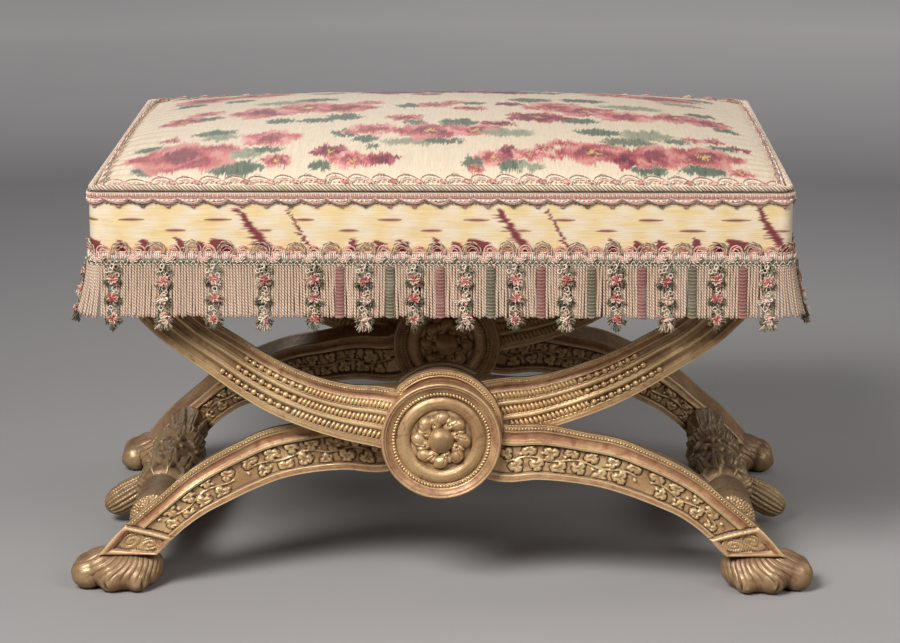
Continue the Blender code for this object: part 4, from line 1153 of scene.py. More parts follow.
def print_leaf(u, v, dye, turn):
    """Coverage and colour of a cluster of toothed leaves in its own unit circle."""
    angle = np.arctan2(v, u)
    outline = 0.80 + 0.22 * np.abs(np.sin(2.5 * angle + turn)) + 0.08 * np.cos(11 * angle)
    share = np.hypot(u, v) / outline
    cover = 1 - smoothstep(0.90, 1.04, share)
    tone = np.tile(np.asarray(dye, float), (*share.shape, 1))
    vein = np.abs(np.sin(2.5 * angle + turn + math.pi / 2)) < 0.16
    tone = mixed(tone, np.asarray(dye) * 0.72, 0.8 * vein * (share < 0.8))
    tone = mixed(tone, np.asarray(dye) * 1.22, 0.6 * smoothstep(0.6, 0.9, share))
    return cover, tone


def thread_jitter(rng, columns, rows, cell):
    """Random shifts of single warp threads, which drift slowly along each thread."""
    coarse = rng.normal(0, 1, (columns, max(2, rows // cell) + 2))
    at = np.linspace(0, coarse.shape[1] - 1.001, rows)
    base = at.astype(int)
    share = at - base
    return coarse[:, base] * (1 - share) + coarse[:, base + 1] * share


feather = 0.0042


def dye_silk(x, y):
    """Colours of the cover: sprays whose edges run out along the warp, from front to back."""
    rng = np.random.default_rng(21)
    columns, rows = x.shape
    jitter = thread_jitter(rng, columns, rows, 7)
    broad = thread_jitter(rng, columns // 4 + 2, rows, 9)[np.arange(columns) // 4]
    shifted = y + feather * (0.75 * jitter + 0.5 * broad)
    ripple = 0.0006 * thread_jitter(rng, rows, columns, 5).T
    tones = np.tile(np.asarray(cream, float), (columns, rows, 1))
    streak = thread_jitter(rng, columns, rows, 30)
    tones *= (1 + 0.012 * streak)[..., None]
    for index, (middle_x, middle_y, half_x, half_y, what) in enumerate(sprays_on_silk):
        u = (x + ripple - middle_x / 100) / (half_x / 100)
        v = (shifted - middle_y / 100) / (half_y / 100)
        near = (np.abs(u) < 1.4).any(axis=1)
        u = u[near]
        v = v[near]
        turn = 1.7 * index
        if what in leaf_dyes:
            cover, tone = print_leaf(u, v, leaf_dyes[what], turn)
        else:
            cover, tone = print_rose(u, v, rose_dyes[what.split()[0]], turn, "eyeless" not in what)
        cover = cover * np.clip(0.93 + 0.10 * streak[near], 0.6, 1.0)
        part = tones[near]
        tones[near] = part + (tone - part) * cover[..., None]
    return to_linear(tones)


def to_linear(tones):
    """Screen colours from 0 to 255 as the renderer's linear values."""
    value = np.clip(tones / 255, 0, 1)
    return np.where(value <= 0.04045, value / 12.92, ((value + 0.055) / 1.055) ** 2.4)


def edge_ticks(half, step):
    """Grid lines from -half to half, even inside and crowded at both ends."""
    rim = 0.012
    crowd = half - rim * (np.arange(14) / 14) ** 2
    inside = np.linspace(-(half - rim), half - rim, int(2 * (half - rim) / step))
    return np.concatenate([-crowd[:13], inside[1:-1], crowd[:13][::-1]])


def round_corners(x, y, half_x, half_y, radius):
    """Draw the corners of a rectangle's grid in to quarter circles."""
    a = np.clip(np.abs(x) - (half_x - radius), 0, None) / radius
    b = np.clip(np.abs(y) - (half_y - radius), 0, None) / radius
    in_corner = (a > 0) & (b > 0)
    new_x = np.where(in_corner, half_x - radius + radius * a * np.sqrt(1 - b * b / 2), np.abs(x))
    new_y = np.where(in_corner, half_y - radius + radius * b * np.sqrt(1 - a * a / 2), np.abs(y))
    return np.sign(x) * new_x, np.sign(y) * new_y


def silk_material(name, sheen, weave_across, weave_along):
    """Ribbed silk: its dyes from the mesh, fine warp streaks, weft ribs and a soft gloss."""
    material, shader, add = new_material(name)
    streak = noise(add, 1.0, 3.0, 0.6, stretch=weave_across)
    rib = noise(add, 1.0, 2.0, 0.5, stretch=weave_along)
    slub = noise(add, 60.0, 3.0, 0.6)
    tone = blend_colours(add, ramp(add, streak, 0.35, 0.65, 0.0, 0.30), stored(add, "dye", "Color"),
                         colour(205, 180, 150), "MULTIPLY")
    tone = blend_colours(add, ramp(add, slub, 0.55, 0.75, 0.0, 0.18), tone, colour(225, 205, 180),
                         "MULTIPLY")
    feed(shader, {"Base Color": tone, "Roughness": 0.46, "Specular IOR Level": 0.40,
                  "Sheen Weight": sheen, "Sheen Roughness": 0.4,
                  "Normal": bumped(add, maths(add, "ADD", rib, streak), 0.25, 0.0004)})
    return material


def build_cover():
    x, y = np.meshgrid(edge_ticks(cover_high.x, 0.00095), edge_ticks(cover_high.y, 0.0020), indexing="ij")
    tones = dye_silk(x, y).reshape(-1, 3)
    x, y = round_corners(x, y, cover_high.x, cover_high.y, corner_radius)
    # Soft pulls where the silk is drawn down at its left and right ends
    from_end = cover_high.x - np.abs(x)
    pull = np.exp(-(from_end / 0.055) ** 2) * smoothstep(0.004, 0.018, from_end)
    fold = 1 + np.sin(2 * np.pi * (y + 0.35 * from_end) / 0.021 + 1.5 * np.sin(y * 37))
    points = np.stack([x, y, crown_surface(x, y) - 0.0006 * pull * fold], axis=-1).reshape(-1, 3)
    rim = grid_rim(*x.shape)
    skirt = points[rim].copy()
    skirt[:, 2] = seam - 0.0010
    lower = len(points) + np.arange(len(rim))
    wall = np.stack([rim, np.roll(rim, -1), np.roll(lower, -1), lower], axis=1)
    mesh = make_mesh("silk_cover", np.concatenate([points, skirt]),
                     [grid_faces(*x.shape), wall[:, ::-1], lower[None, ::-1]],
                     {"dye": np.concatenate([tones, tones[rim]])})
    flip_if_inside_out(mesh)
    material = silk_material("warp_printed_silk", 0.25, (1500.0, 60.0, 60.0), (40.0, 1800.0, 40.0))
    piece = add_piece("silk_cover", mesh, material, ["top_cover", "seat_stuffing"])


# Round the seat

# The lengths of its sides with square corners: front, right, rear and left
side_runs = (2 * half_width, 2 * half_depth, 2 * half_width, 2 * half_depth)
wall_length = sum(side_runs) + (2 * math.pi - 8) * corner_radius


def ring_point(s, out):
    """Points and their directions round the seat, at lengths from the left end of the front.

    out is how far a point stands from the boxing.
    """
    s = np.mod(s, wall_length)
    x = np.zeros_like(s)
    y = np.zeros_like(s)
    angle = np.zeros_like(s)
    arc = math.pi / 2 * corner_radius
    start = 0.0
    for quarter, (sign_x, sign_y) in enumerate(((1, -1), (1, 1), (-1, 1), (-1, -1))):
        flat = side_runs[quarter] - 2 * corner_radius
        heading = quarter * math.pi / 2
        normal = heading - math.pi / 2
        centre_x = sign_x * (half_width - corner_radius)
        centre_y = sign_y * (half_depth - corner_radius)
        run = (s >= start) & (s <= start + flat)
        back = flat - (s - start)
        x = np.where(run, centre_x - back * math.cos(heading) + corner_radius * math.cos(normal), x)
        y = np.where(run, centre_y - back * math.sin(heading) + corner_radius * math.sin(normal), y)
        angle = np.where(run, normal, angle)
        bend = (s > start + flat) & (s < start + flat + arc)
        turned = normal + (s - start - flat) / corner_radius
        x = np.where(bend, centre_x + corner_radius * np.cos(turned), x)
        y = np.where(bend, centre_y + corner_radius * np.sin(turned), y)
        angle = np.where(bend, turned, angle)
        start += flat + arc
    return x + out * np.cos(angle), y + out * np.sin(angle), angle


def on_top(s, v, w):
    """A point on the domed top: s round the seam, v inwards from it, w above the silk."""
    reach_x = cover_high.x - 0.0004
    reach_y = cover_high.y - 0.0004

    def height(x, y):
        return crown_surface(np.clip(x, -reach_x, reach_x), np.clip(y, -reach_y, reach_y))

    probe = 0.0015
    x, y, _ = ring_point(s, -v)
    inner_x, inner_y, angle = ring_point(s, -v - probe)
    here = height(x, y)
    slope = (height(inner_x, inner_y) - here) / probe
    steep = np.sqrt(1 + slope**2)
    out = w * slope / steep
    return np.stack([x + out * np.cos(angle), y + out * np.sin(angle), here + w / steep], axis=-1)


# The warp-dyed band

ikat_yellow = (247, 214, 144)
ikat_cream = (250, 234, 212)
ikat_maroon = (126, 54, 60)
ikat_repeat = 0.2415
dash_pitch = ikat_repeat / 3

# Diagonal strokes of one repeat: start s, end s, half width at the start and at the end, in metres
diagonal_strokes = ((0.150, 0.183, 0.0025, 0.0065), (0.196, 0.222, 0.0010, 0.0022))
# Blotches along the lower edge of one repeat: middle s, half length, height, in metres
low_blotches = ((0.134, 0.0120, 0.0050), (0.016, 0.0042, 0.0058), (0.040, 0.0050, 0.0036),
                (0.062, 0.0052, 0.0044), (0.094, 0.0044, 0.0066), (0.114, 0.0052, 0.0024))


def dye_band(s, v):
    """Colours of the band: dashes and strokes whose ends run out along it."""
    rng = np.random.default_rng(8)
    count, rows = s.shape
    jitter = thread_jitter(rng, rows, count, 10).T
    broad = thread_jitter(rng, rows // 3 + 2, count, 16).T[:, np.arange(rows) // 3]
    along = np.mod(s + 0.0012 * jitter + 0.0010 * broad + 0.021, ikat_repeat)
    height = v - underside
    tones = np.tile(np.asarray(ikat_yellow, float), (count, rows, 1))
    # Soft cream lozenges between staggered yellow patches
    for row, level in enumerate((0.010, 0.0215, 0.032, 0.0435, 0.055)):
        phase = 0.5 if row % 2 else 0.0
        at = np.mod(along / dash_pitch + phase, 1.0) - 0.5
        patch = np.exp(-((height - level) / 0.0052) ** 2) * np.exp(-(at / 0.28) ** 4)
        rim = np.exp(-((height - level) / 0.0068) ** 2) * np.exp(-(at / 0.42) ** 6)
        tones = mixed(tones, ikat_cream, np.clip(1.35 * rim - 1.2 * patch, 0, 1))
    tones = mixed(tones, ikat_cream, 0.30 * np.clip(thread_jitter(rng, rows, count, 24).T, 0, 1))
    for row, level in enumerate((0.0246, 0.0342)):
        for shift in range(3):
            middle = (shift + 0.5 * row + 0.12) * dash_pitch
            at = wrapped(along, middle, ikat_repeat)
            half = 0.0125 if (shift + row) % 3 else 0.0105
            thick = 0.0011 * np.clip(1 - (at / half) ** 2, 0, 1) ** 0.8
            dash = (np.abs(at) < half) * np.exp(-((height - level - 0.0006 * row) / (thick + 1e-5)) ** 2)
            tones = mixed(tones, ikat_maroon, dash)
    top = 0.047
    for start, stop, thin, thick in diagonal_strokes:
        down = np.clip((top - height) / top, 0, 1)
        line = start + (stop - start) * down ** 1.15
        half = thin + (thick - thin) * down
        off = wrapped(along, line, ikat_repeat)
        ragged = 1 + 0.9 * np.clip(jitter, 0, 1.5) * (off < 0)
        stroke = np.clip(1.3 - np.abs(off / (half * ragged)) ** 1.6, 0, 1) * smoothstep(0.0, 0.06, down)
        tones = mixed(tones, ikat_cream, 0.55 * np.exp(-(off / (half * 2.0)) ** 2))
        tones = mixed(tones, ikat_maroon, 0.95 * stroke)
    for middle, half, tall in low_blotches:
        off = wrapped(along, middle, ikat_repeat)
        # Steep where a blotch starts, and thinning out towards its far end
        share = np.clip((off + half) / (2 * half), 0, 1)
        rise = 0.0122 + tall * (1 - share**2.2)
        end = smoothstep(0.0, 0.06, share) * (1 - smoothstep(0.80, 1.0, share))
        under = 1 - smoothstep(rise - 0.0009, rise + 0.0003, height)
        tones = mixed(tones, ikat_maroon, 0.92 * end * under)
    return to_linear(tones)


def build_band():
    low = underside + 0.0004
    high = seam - gap
    s = np.linspace(0, wall_length, int(wall_length / 0.0016), endpoint=False)
    s, v = np.meshgrid(s, np.linspace(low, high, 64), indexing="ij")
    bulge = 0.0007 * np.sin(np.pi * (v - low) / (high - low))
    slack = 0.00012 * np.sin(2 * np.pi * s / 0.037 + 3 * np.sin(s * 9))
    outer, _ = wall_surface(s, v, bulge + slack - 0.0008)
    inner, _ = wall_surface(s[:, ::-1], v[:, ::-1], -0.0015)
    rings = np.concatenate([outer, inner[:, ::9]], axis=1)
    tones = dye_band(s, v)
    tones = np.concatenate([tones, tones[:, ::-9]], axis=1)
    mesh = make_mesh("warp_dyed_band", rings.reshape(-1, 3), [grid_faces(*rings.shape[:2], True, True)],
                     {"dye": tones.reshape(-1, 3)})
    flip_if_inside_out(mesh)
    material = silk_material("warp_dyed_silk", 0.2, (50.0, 50.0, 1500.0), (1700.0, 1700.0, 60.0))
    piece = add_piece("warp_dyed_band", mesh, material, ["boxing_band"])


# Under the seat: boards, webbing and base cloth

def wood_material(name, stretch):
    """Plain sawn beech: long grain, small dark flecks and old dust."""
    material, shader, add = new_material(name)
    grain = noise(add, 1.0, 4.0, 0.6, stretch=stretch, distortion=0.8)
    fleck = noise(add, 1.0, 2.0, 0.5, stretch=tuple(value * 6 for value in stretch))
    stain = noise(add, 9.0, 3.0, 0.6)
    tone = coats(add, colour(176, 134, 92),
                 (ramp(add, grain, 0.35, 0.65), colour(134, 94, 60)),
                 (ramp(add, fleck, 0.62, 0.72, 0.0, 0.6), colour(86, 56, 36)),
                 (ramp(add, stain, 0.45, 0.70, 0.0, 0.5), colour(96, 72, 52)))
    feed(shader, {"Base Color": tone, "Roughness": 0.78,
                  "Normal": bumped(add, maths(add, "ADD", grain, fleck), 0.35, 0.0005)})
    return material


def woven_material(name, light, dark, pitch):
    """Plain woven linen: threads over and under each other, slubs and a few darker threads."""
    material, shader, add = new_material(name)
    place = add("ShaderNodeSeparateXYZ", {0: add("ShaderNodeTexCoord").outputs["Object"]})
    waves = [maths(add, "SINE", maths(add, "MULTIPLY", place.outputs[axis], 2 * math.pi / pitch))
             for axis in (0, 1)]
    over = maths(add, "MULTIPLY", *waves)
    slub = noise(add, 1.0, 3.0, 0.6, stretch=(900.0, 60.0, 60.0))
    cross_slub = noise(add, 1.0, 3.0, 0.6, stretch=(60.0, 900.0, 60.0))
    age = noise(add, 14.0, 3.0, 0.6)
    tone = coats(add, light,
                 (ramp(add, over, -0.5, 0.5), dark),
                 (ramp(add, slub, 0.55, 0.72, 0.0, 0.5), dark),
                 (ramp(add, cross_slub, 0.55, 0.72, 0.0, 0.4), dark),
                 (ramp(add, age, 0.45, 0.75, 0.0, 0.35), colour(104, 84, 62)))
    feed(shader, {"Base Color": tone, "Roughness": 0.85, "Sheen Weight": 0.15,
                  "Normal": bumped(add, maths(add, "ADD", over, slub), 0.60, 0.0004)})
    return material


def build_strap(node, across_x, levels, material):
    """A woven strap between two ends; levels are (place along it, height of its underside)."""
    low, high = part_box(node)
    start, stop = (low.y, high.y) if across_x else (low.x, high.x)
    near, far = (low.x, high.x) if across_x else (low.y, high.y)
    along = np.linspace(start, stop, 240)[:, None]
    under = np.interp(along[:, 0], *np.array(levels).T)[:, None]
    across = np.linspace(-1, 1, 40)[None]
    selvedge = (far - near) / 2 - 0.0002 * (1 + np.sin(along * 2 * np.pi / 0.0041))
    rim = 0.0003 * np.abs(across) ** 12
    place = (near + far) / 2 + across * selvedge
    along = along + 0 * place
    x, y = (place, along) if across_x else (along, place)
    top = np.stack([x, y, under + 0.0012 - rim], axis=-1)
    bottom = np.stack([x, y, under + rim], axis=-1)[:, ::-1]
    mesh = closed_mesh(node + "_woven", np.concatenate([top, bottom], axis=1))
    add_piece(node + "_woven", mesh, material, [node])


def build_webbing():
    webbing = woven_material("linen_webbing", colour(190, 166, 128), colour(142, 116, 82), 0.0022)
    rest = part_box("long_strap_1")[0].z
    step = 0.0015
    rows = []
    for number in (1, 2, 3):
        low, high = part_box("long_strap_" + str(number))
        rows.append((low.y, high.y))
        build_strap("long_strap_" + str(number), False, [(low.x, rest), (high.x, rest)], webbing)
    for number in (1, 2, 3, 4):
        node = "cross_strap_" + str(number)
        low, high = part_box(node)
        edge = high.y - 0.045
        levels = [(low.y, rest), (-edge, rest)]
        for row, (near, far) in enumerate(rows):
            level = rest + (step if (row + number - 1) % 2 else -step)
            levels += [(near, level), (far, level)]
        levels += [(edge, rest), (high.y, rest)]
        build_strap(node, True, levels, webbing)


def build_base_cloth():
    """A linen cloth drawn tight over the webbing."""
    low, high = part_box("base_cloth")
    x, y = np.meshgrid(np.linspace(low.x, high.x, 130), np.linspace(low.y, high.y, 100), indexing="ij")
    x, y = round_corners(x, y, high.x, high.y, corner_radius)
    ripple = 0.00012 * (1 + np.sin(x * 150 + 2 * np.sin(y * 31)) * np.sin(y * 120))
    under = np.stack([x, y, low.z + ripple], axis=-1).reshape(-1, 3)
    over = np.stack([x, y, high.z - 0.0003 + ripple], axis=-1).reshape(-1, 3)
    rim = grid_rim(*x.shape)
    lower = rim + len(over)
    wall = np.stack([rim, lower, np.roll(lower, -1), np.roll(rim, -1)], axis=1)
    faces = [grid_faces(*x.shape), grid_faces(*x.shape, flip=True) + len(over), wall]
    mesh = make_mesh("base_cloth_linen", np.concatenate([over, under]), faces)
    flip_if_inside_out(mesh)
    linen = woven_material("base_linen", colour(206, 190, 160), colour(160, 140, 108), 0.0014)
    piece = add_piece("base_cloth_linen", mesh, linen, ["base_cloth"])


def dress_boards():
    """The boards and corner blocks keep their solids and get the grain of sawn beech."""
    long_grain = wood_material("beech_long_grain", (14.0, 160.0, 160.0))
    deep_grain = wood_material("beech_deep_grain", (160.0, 14.0, 160.0))
    for name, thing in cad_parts.items():
        if name.endswith(("_seat_board", "_corner_block")):
            for slot in thing.material_slots:
                slot.material = deep_grain if name in ("left_seat_board", "right_seat_board") else long_grain


# Trims: their threads lie in bands round the seat

trim_tones = {
    "cream": (248, 230, 208), "ivory": (252, 242, 226), "pink": (244, 182, 168), "rose": (208, 122, 112),
    "red": (186, 94, 88), "mauve": (188, 138, 130), "grey": (160, 146, 118), "moss": (128, 124, 88),
    "green": (98, 102, 68), "straw": (226, 201, 174), "blush": (236, 202, 182), "bark": (120, 104, 84),
    "sedge": (90, 82, 60), "wine": (128, 76, 68), "beige": (222, 190, 166), "wrap": (190, 174, 138),
    "wrap_pink": (206, 162, 148), "olive": (94, 82, 56),
}


def tone_of(name):
    return to_linear(np.asarray(trim_tones[name], float))


def wall_surface(s, v, w):
    """Points and outward normals on the seat's wall: s round it, v the height, w out from the boxing."""
    x, y, angle = ring_point(s, w)
    points = np.stack([x, y, v + np.zeros_like(x)], axis=-1)
    return points, np.stack([np.cos(angle), np.sin(angle), np.zeros_like(x)], axis=-1)


def crown_edge_surface(s, v, w):
    """Points and normals near the rim of the domed top; v runs inwards from the wall."""
    points = on_top(s, v, w)
    lifted = on_top(s, v, w + 0.001)
    return points, normalise(lifted - points)


def lay_cords(soups, surface, s, v, w, radius, tones, sides=5, closed=False, turns=0.0, plies=2,
              phase=0.0):
    """Add cords that follow (s, v, w) rows on a surface, plain or twisted from plies."""
    s, v, w = np.broadcast_arrays(s, v, w)
    paths, normals = surface(s, v, w)
    count, steps, _ = paths.shape
    radius = np.broadcast_to(np.asarray(radius, float), (count, steps))
    if turns:
        paths = twist(paths, normals, 0.52 * radius[0, 0], turns, plies, phase, closed)
        normals = np.concatenate([normals] * plies)
        radius = np.concatenate([radius * 0.58] * plies)
    points, faces = tubes(paths, radius, normals, sides, closed)
    tones = np.asarray([tone_of(tone) if isinstance(tone, str) else tone for tone in tones])
    owners = np.arange(len(paths))
    if turns and len(tones) == plies:
        owners = owners // count
    shade = tones[owners % len(tones)]
    soups.append((points, faces, np.repeat(shade, steps * sides, axis=0)))


def balls(centres, radius, rings=4, sides=7):
    """Small round beads."""
    body = ball_body(np.linspace(-1, 1, rings + 2)[1:-1] * 0.93, sides)
    points = centres[:, None, :] + radius * body
    return points.reshape(-1, 3), repeat_faces(capped_grid(rings, sides), len(centres), len(body))


def tape(low, high, w, thick, tone):
    """A thin flat strip round the seat, between two heights."""
    s = np.linspace(0, wall_length, 900, endpoint=False)[:, None]
    front, _ = wall_surface(*np.broadcast_arrays(s, np.linspace(low, high, 4), w + thick))
    back, _ = wall_surface(*np.broadcast_arrays(s, np.linspace(high, low, 4), w))
    ring = np.concatenate([front, back], axis=1)
    return ring.reshape(-1, 3), [grid_faces(*ring.shape[:2], True, True)], tone_of(tone)


def trim_material(name):
    """Silk and cotton threads: tints from the mesh, fibres, faint dusty patches, painted shade in the twist
    grooves of cords and a soft sheen.
    """
    material, shader, add = new_material(name)
    fibre = noise(add, 1400.0, 2.0, 0.6)
    patch = noise(add, 45.0, 3.0, 0.6)
    tone = blend_colours(add, ramp(add, fibre, 0.35, 0.70, 0.0, 0.35), stored(add, "tint", "Color"),
                         colour(206, 192, 176), "MULTIPLY")
    # Cords whose mesh carries a wind attribute show the fine twist of their two plies, with painted shade in
    # the grooves between the plies
    wind = stored(add, "wind")
    turn = maths(add, "ABSOLUTE", maths(add, "SINE", maths(add, "MULTIPLY", wind, math.pi)))
    is_cord = maths(add, "GREATER_THAN", wind, 0.001)
    groove = maths(add, "MULTIPLY", ramp(add, turn, 0.72, 0.05, 0.0, 0.92), is_cord)
    tone = coats(add, tone, (ramp(add, patch, 0.50, 0.72, 0.0, 0.18), colour(214, 198, 176)),
                 (groove, colour(122, 86, 62)))
    ply = maths(add, "MULTIPLY", maths(add, "MULTIPLY", turn, is_cord), 1.6)
    feed(shader, {"Base Color": tone, "Roughness": 0.55, "Sheen Weight": 0.35, "Sheen Roughness": 0.45,
                  "Normal": bumped(add, maths(add, "ADD", ply, fibre), 0.50, 0.0003)})
    return material


def finish_trim(name, soups, material, nodes):
    points, faces, tints = join_soups(soups)
    mesh = make_mesh(name, points, faces, {"tint": tints})
    return add_piece(name, mesh, material, nodes)


def wound_cords(paths, radius, normals, turns, sides=7):
    """Plain round cords with a count of half turns on their points, for the twist in their material, which
    paints shade in the grooves between the plies.
    """
    points, faces = tubes(paths, radius, -normals, sides)
    count, steps, _ = paths.shape
    u = np.linspace(0, 1, steps)[None, :, None]
    around = np.arange(sides)[None, None, :] / sides
    wind = 2 + 2 * turns * u + 2 * around + np.zeros((count, 1, 1))
    return points, faces, wind.ravel()


gimp_count = 100
gimp_pitch = wall_length / gimp_count
arch_count = 70
edge_cord_height = 0.4041
edge_cord_out = -0.0028
heading_top = 0.3442
heading_foot = 0.3360


def repeat_starts(count, offset=0.0):
    return (np.arange(count)[:, None] + offset) * wall_length / count


def build_edge_cord(material):
    """The rope at the seam: eight strands round a core, over a thin dark cord in the seam that paints the
    shadow line under the rope.
    """
    turns = 158
    s = np.linspace(0, wall_length, turns * 12, endpoint=False)[None]
    middle, normals = wall_surface(*np.broadcast_arrays(s, edge_cord_height, edge_cord_out))
    strands = ("olive", "straw", "olive", "cream", "olive", "blush", "olive", "straw")
    paths = twist(middle, normals, 0.00205, turns, len(strands), 0.0, True)
    girth = np.array([0.00066 if name == "olive" else 0.00096 for name in strands])[:, None]
    points, faces = tubes(paths, girth, np.concatenate([normals] * len(strands)), 5, True)
    shades = np.repeat([tone_of(name) for name in strands], s.shape[1] * 5, axis=0)
    soups = [(points, faces, shades)]
    lay_cords(soups, wall_surface, s[:, ::2], edge_cord_height, edge_cord_out, 0.0021, ("cream",),
              sides=8, closed=True)
    # Painted shadow: a thin dark cord along the seam, just under the rope
    thin = np.linspace(0, wall_length, 1200, endpoint=False)[None]
    lay_cords(soups, wall_surface, thin, seam - 0.0003, 0.0001, 0.0006, ("bark",), sides=6, closed=True)
    finish_trim("twisted_edge_cord", soups, material, ["top_edge_cord"])


def build_top_gimp(material):
    """Loops of paired cords on the top, just inside the edge cord."""
    soups = []
    u = np.linspace(0, 1, 22)[None]
    start = repeat_starts(gimp_count)
    rng = np.random.default_rng(3)
    wobble = rng.normal(0, 1, (gimp_count, 1))
    rise = np.sin(np.pi * u ** 0.62) ** 0.85
    for inner, thick, tones in ((0.0, 0.00075, ("moss", "mauve")), (0.0014, 0.0008, ("cream", "ivory")),
                                (0.0028, 0.0008, ("pink", "blush"))):
        s = start + gimp_pitch * (1.16 - 70 * inner) * u + 1.6 * inner + 0.0007 * wobble
        v = 0.0084 + (0.0074 + 0.0006 * wobble - 1.2 * inner) * rise
        w = 0.0009 + (0.0027 - 0.6 * inner) * rise + 0.0003 * (inner == 0)
        lay_cords(soups, crown_edge_surface, s, v, w, thick, tones, turns=6.0, phase=900 * inner)
    # A cord along the outer side, small upright picots and tufts between the loops
    ring = np.linspace(0, wall_length, 3600, endpoint=False)[None]
    lay_cords(soups, crown_edge_surface, ring, 0.0080, 0.0006, 0.0008, ("grey", "cream"), sides=4,
              closed=True, turns=620)
    turn = np.linspace(0, 2 * np.pi, 12, endpoint=False)[None]
    for offset, size in ((0.34, 0.0019), (0.48, 0.0015), (0.86, 0.0020), (1.02, 0.0016)):
        s = repeat_starts(gimp_count, offset) + size * np.cos(turn)
        high = 0.0158 if offset < 0.6 else 0.0104
        v = high + 0.5 * size * np.sin(turn)
        w = (0.0026 if offset < 0.6 else 0.0016) + size * (1 + np.sin(turn)) * 0.5
        lay_cords(soups, crown_edge_surface, s, v, w, 0.00042, ("pink", "cream", "mauve"), sides=4,
                  closed=True)
    for share in (0.22, 0.40, 0.58):
        places = repeat_starts(gimp_count, 0.0)[:, 0] + gimp_pitch * 1.16 * share
        centres, _ = crown_edge_surface(places, np.full(gimp_count, 0.0102), np.full(gimp_count, 0.0022))
        soups.append((*balls(centres, 0.0011), tone_of("ivory" if share < 0.5 else "cream")))
    fan = np.linspace(0, 1, 5)[None]
    for blade in range(7):
        lean = (blade - 3) / 3
        s = repeat_starts(gimp_count, 0.93) + 0.0026 * lean * fan
        v = 0.0088 + 0.0034 * fan * (1 - 0.35 * abs(lean))
        w = 0.0010 + 0.0014 * fan
        lay_cords(soups, crown_edge_surface, s, v, w, 0.00055, ("pink", "rose"), sides=4)
    finish_trim("top_loop_gimp", soups, material, ["top_gimp"])


def stitches(soups, low, high, w, tones):
    """A row of upright stitches round the seat, each a little fuller at its middle."""
    u = np.linspace(0, 1, 5)[None]
    s = repeat_starts(1150) + 0.0004 * (u - 0.5)
    bulge = w + 0.0006 * np.sin(np.pi * u)
    thick = 0.0008 * (0.55 + 0.45 * np.sin(np.pi * (0.08 + 0.84 * u)))
    lay_cords(soups, wall_surface, s, high + (low - high) * u, bulge, thick, tones, sides=4)


def build_upper_gimp(material):
    """A row of upright stitches with sweeping loops, pearls and picots below it."""
    soups = [tape(0.3964, 0.3998, 0.0002, 0.0006, "pink"),
             tape(0.3912, 0.3964, 0.0002, 0.0003, "blush")]
    stitches(soups, 0.3966, 0.3998, 0.0011, ("pink", "cream"))
    ring = np.linspace(0, wall_length, 3000, endpoint=False)[None]
    for height, tones in ((0.4000, ("blush", "cream")), (0.3962, ("pink", "mauve"))):
        lay_cords(soups, wall_surface, ring, height, 0.0013, 0.00055, tones, sides=4, closed=True,
                  turns=560)
    u = np.linspace(0, 1, 24)[None]
    start = repeat_starts(gimp_count, 0.10)
    wobble = np.random.default_rng(5).normal(0, 1, (gimp_count, 1))
    dip = np.sin(np.pi * u ** 1.4) ** 0.6
    for inner, tones, thick in ((0.0, ("mauve", "grey"), 0.00090), (0.0016, ("blush", "pink"), 0.0007)):
        s = start + 1.0 * inner + gimp_pitch * (1.12 - 90 * inner) * u + 0.0005 * wobble
        v = 0.3960 - (0.0058 + 0.0004 * wobble - 0.9 * inner) * dip
        w = 0.0012 + 0.0010 * np.sin(np.pi * u)
        lay_cords(soups, wall_surface, s, v, w, thick, tones, turns=6.0)
    for share, fall in ((0.26, 0.0018), (0.44, 0.0022), (0.62, 0.0024), (0.88, 0.0014)):
        s = repeat_starts(gimp_count, 0.12) + gimp_pitch * share
        centres, _ = wall_surface(s[:, 0], 0.3956 - fall, 0.0018)
        soups.append((*balls(centres, 0.00125, 5, 8), tone_of("ivory")))
    turn = np.linspace(0, 2 * np.pi, 14, endpoint=False)[None]
    for offset, size, height in ((0.66, 0.0022, 0.3892), (0.66, 0.0011, 0.3894), (0.80, 0.0016, 0.3912),
                                 (0.52, 0.0015, 0.3914), (0.32, 0.0013, 0.3920), (0.14, 0.0013, 0.3926)):
        s = repeat_starts(gimp_count, 0.10 + offset) + size * np.cos(turn) + 0.0005 * wobble
        v = height + size * np.sin(turn)
        lay_cords(soups, wall_surface, s, v, 0.0013, 0.00058, ("mauve", "bark", "mauve"), sides=4,
                  closed=True)
    finish_trim("upper_picot_gimp", soups, material, ["upper_gimp"])


def arch_line(share, width, height, skew):
    """Offset round the seat and height of an arch whose shoulders turn in a little at its feet."""
    angle = np.pi * (1.18 * share - 0.09)
    across = skew * np.sin(angle) - width / 2 * np.cos(angle)
    return across, heading_top + height * np.maximum(np.sin(angle), -0.25)


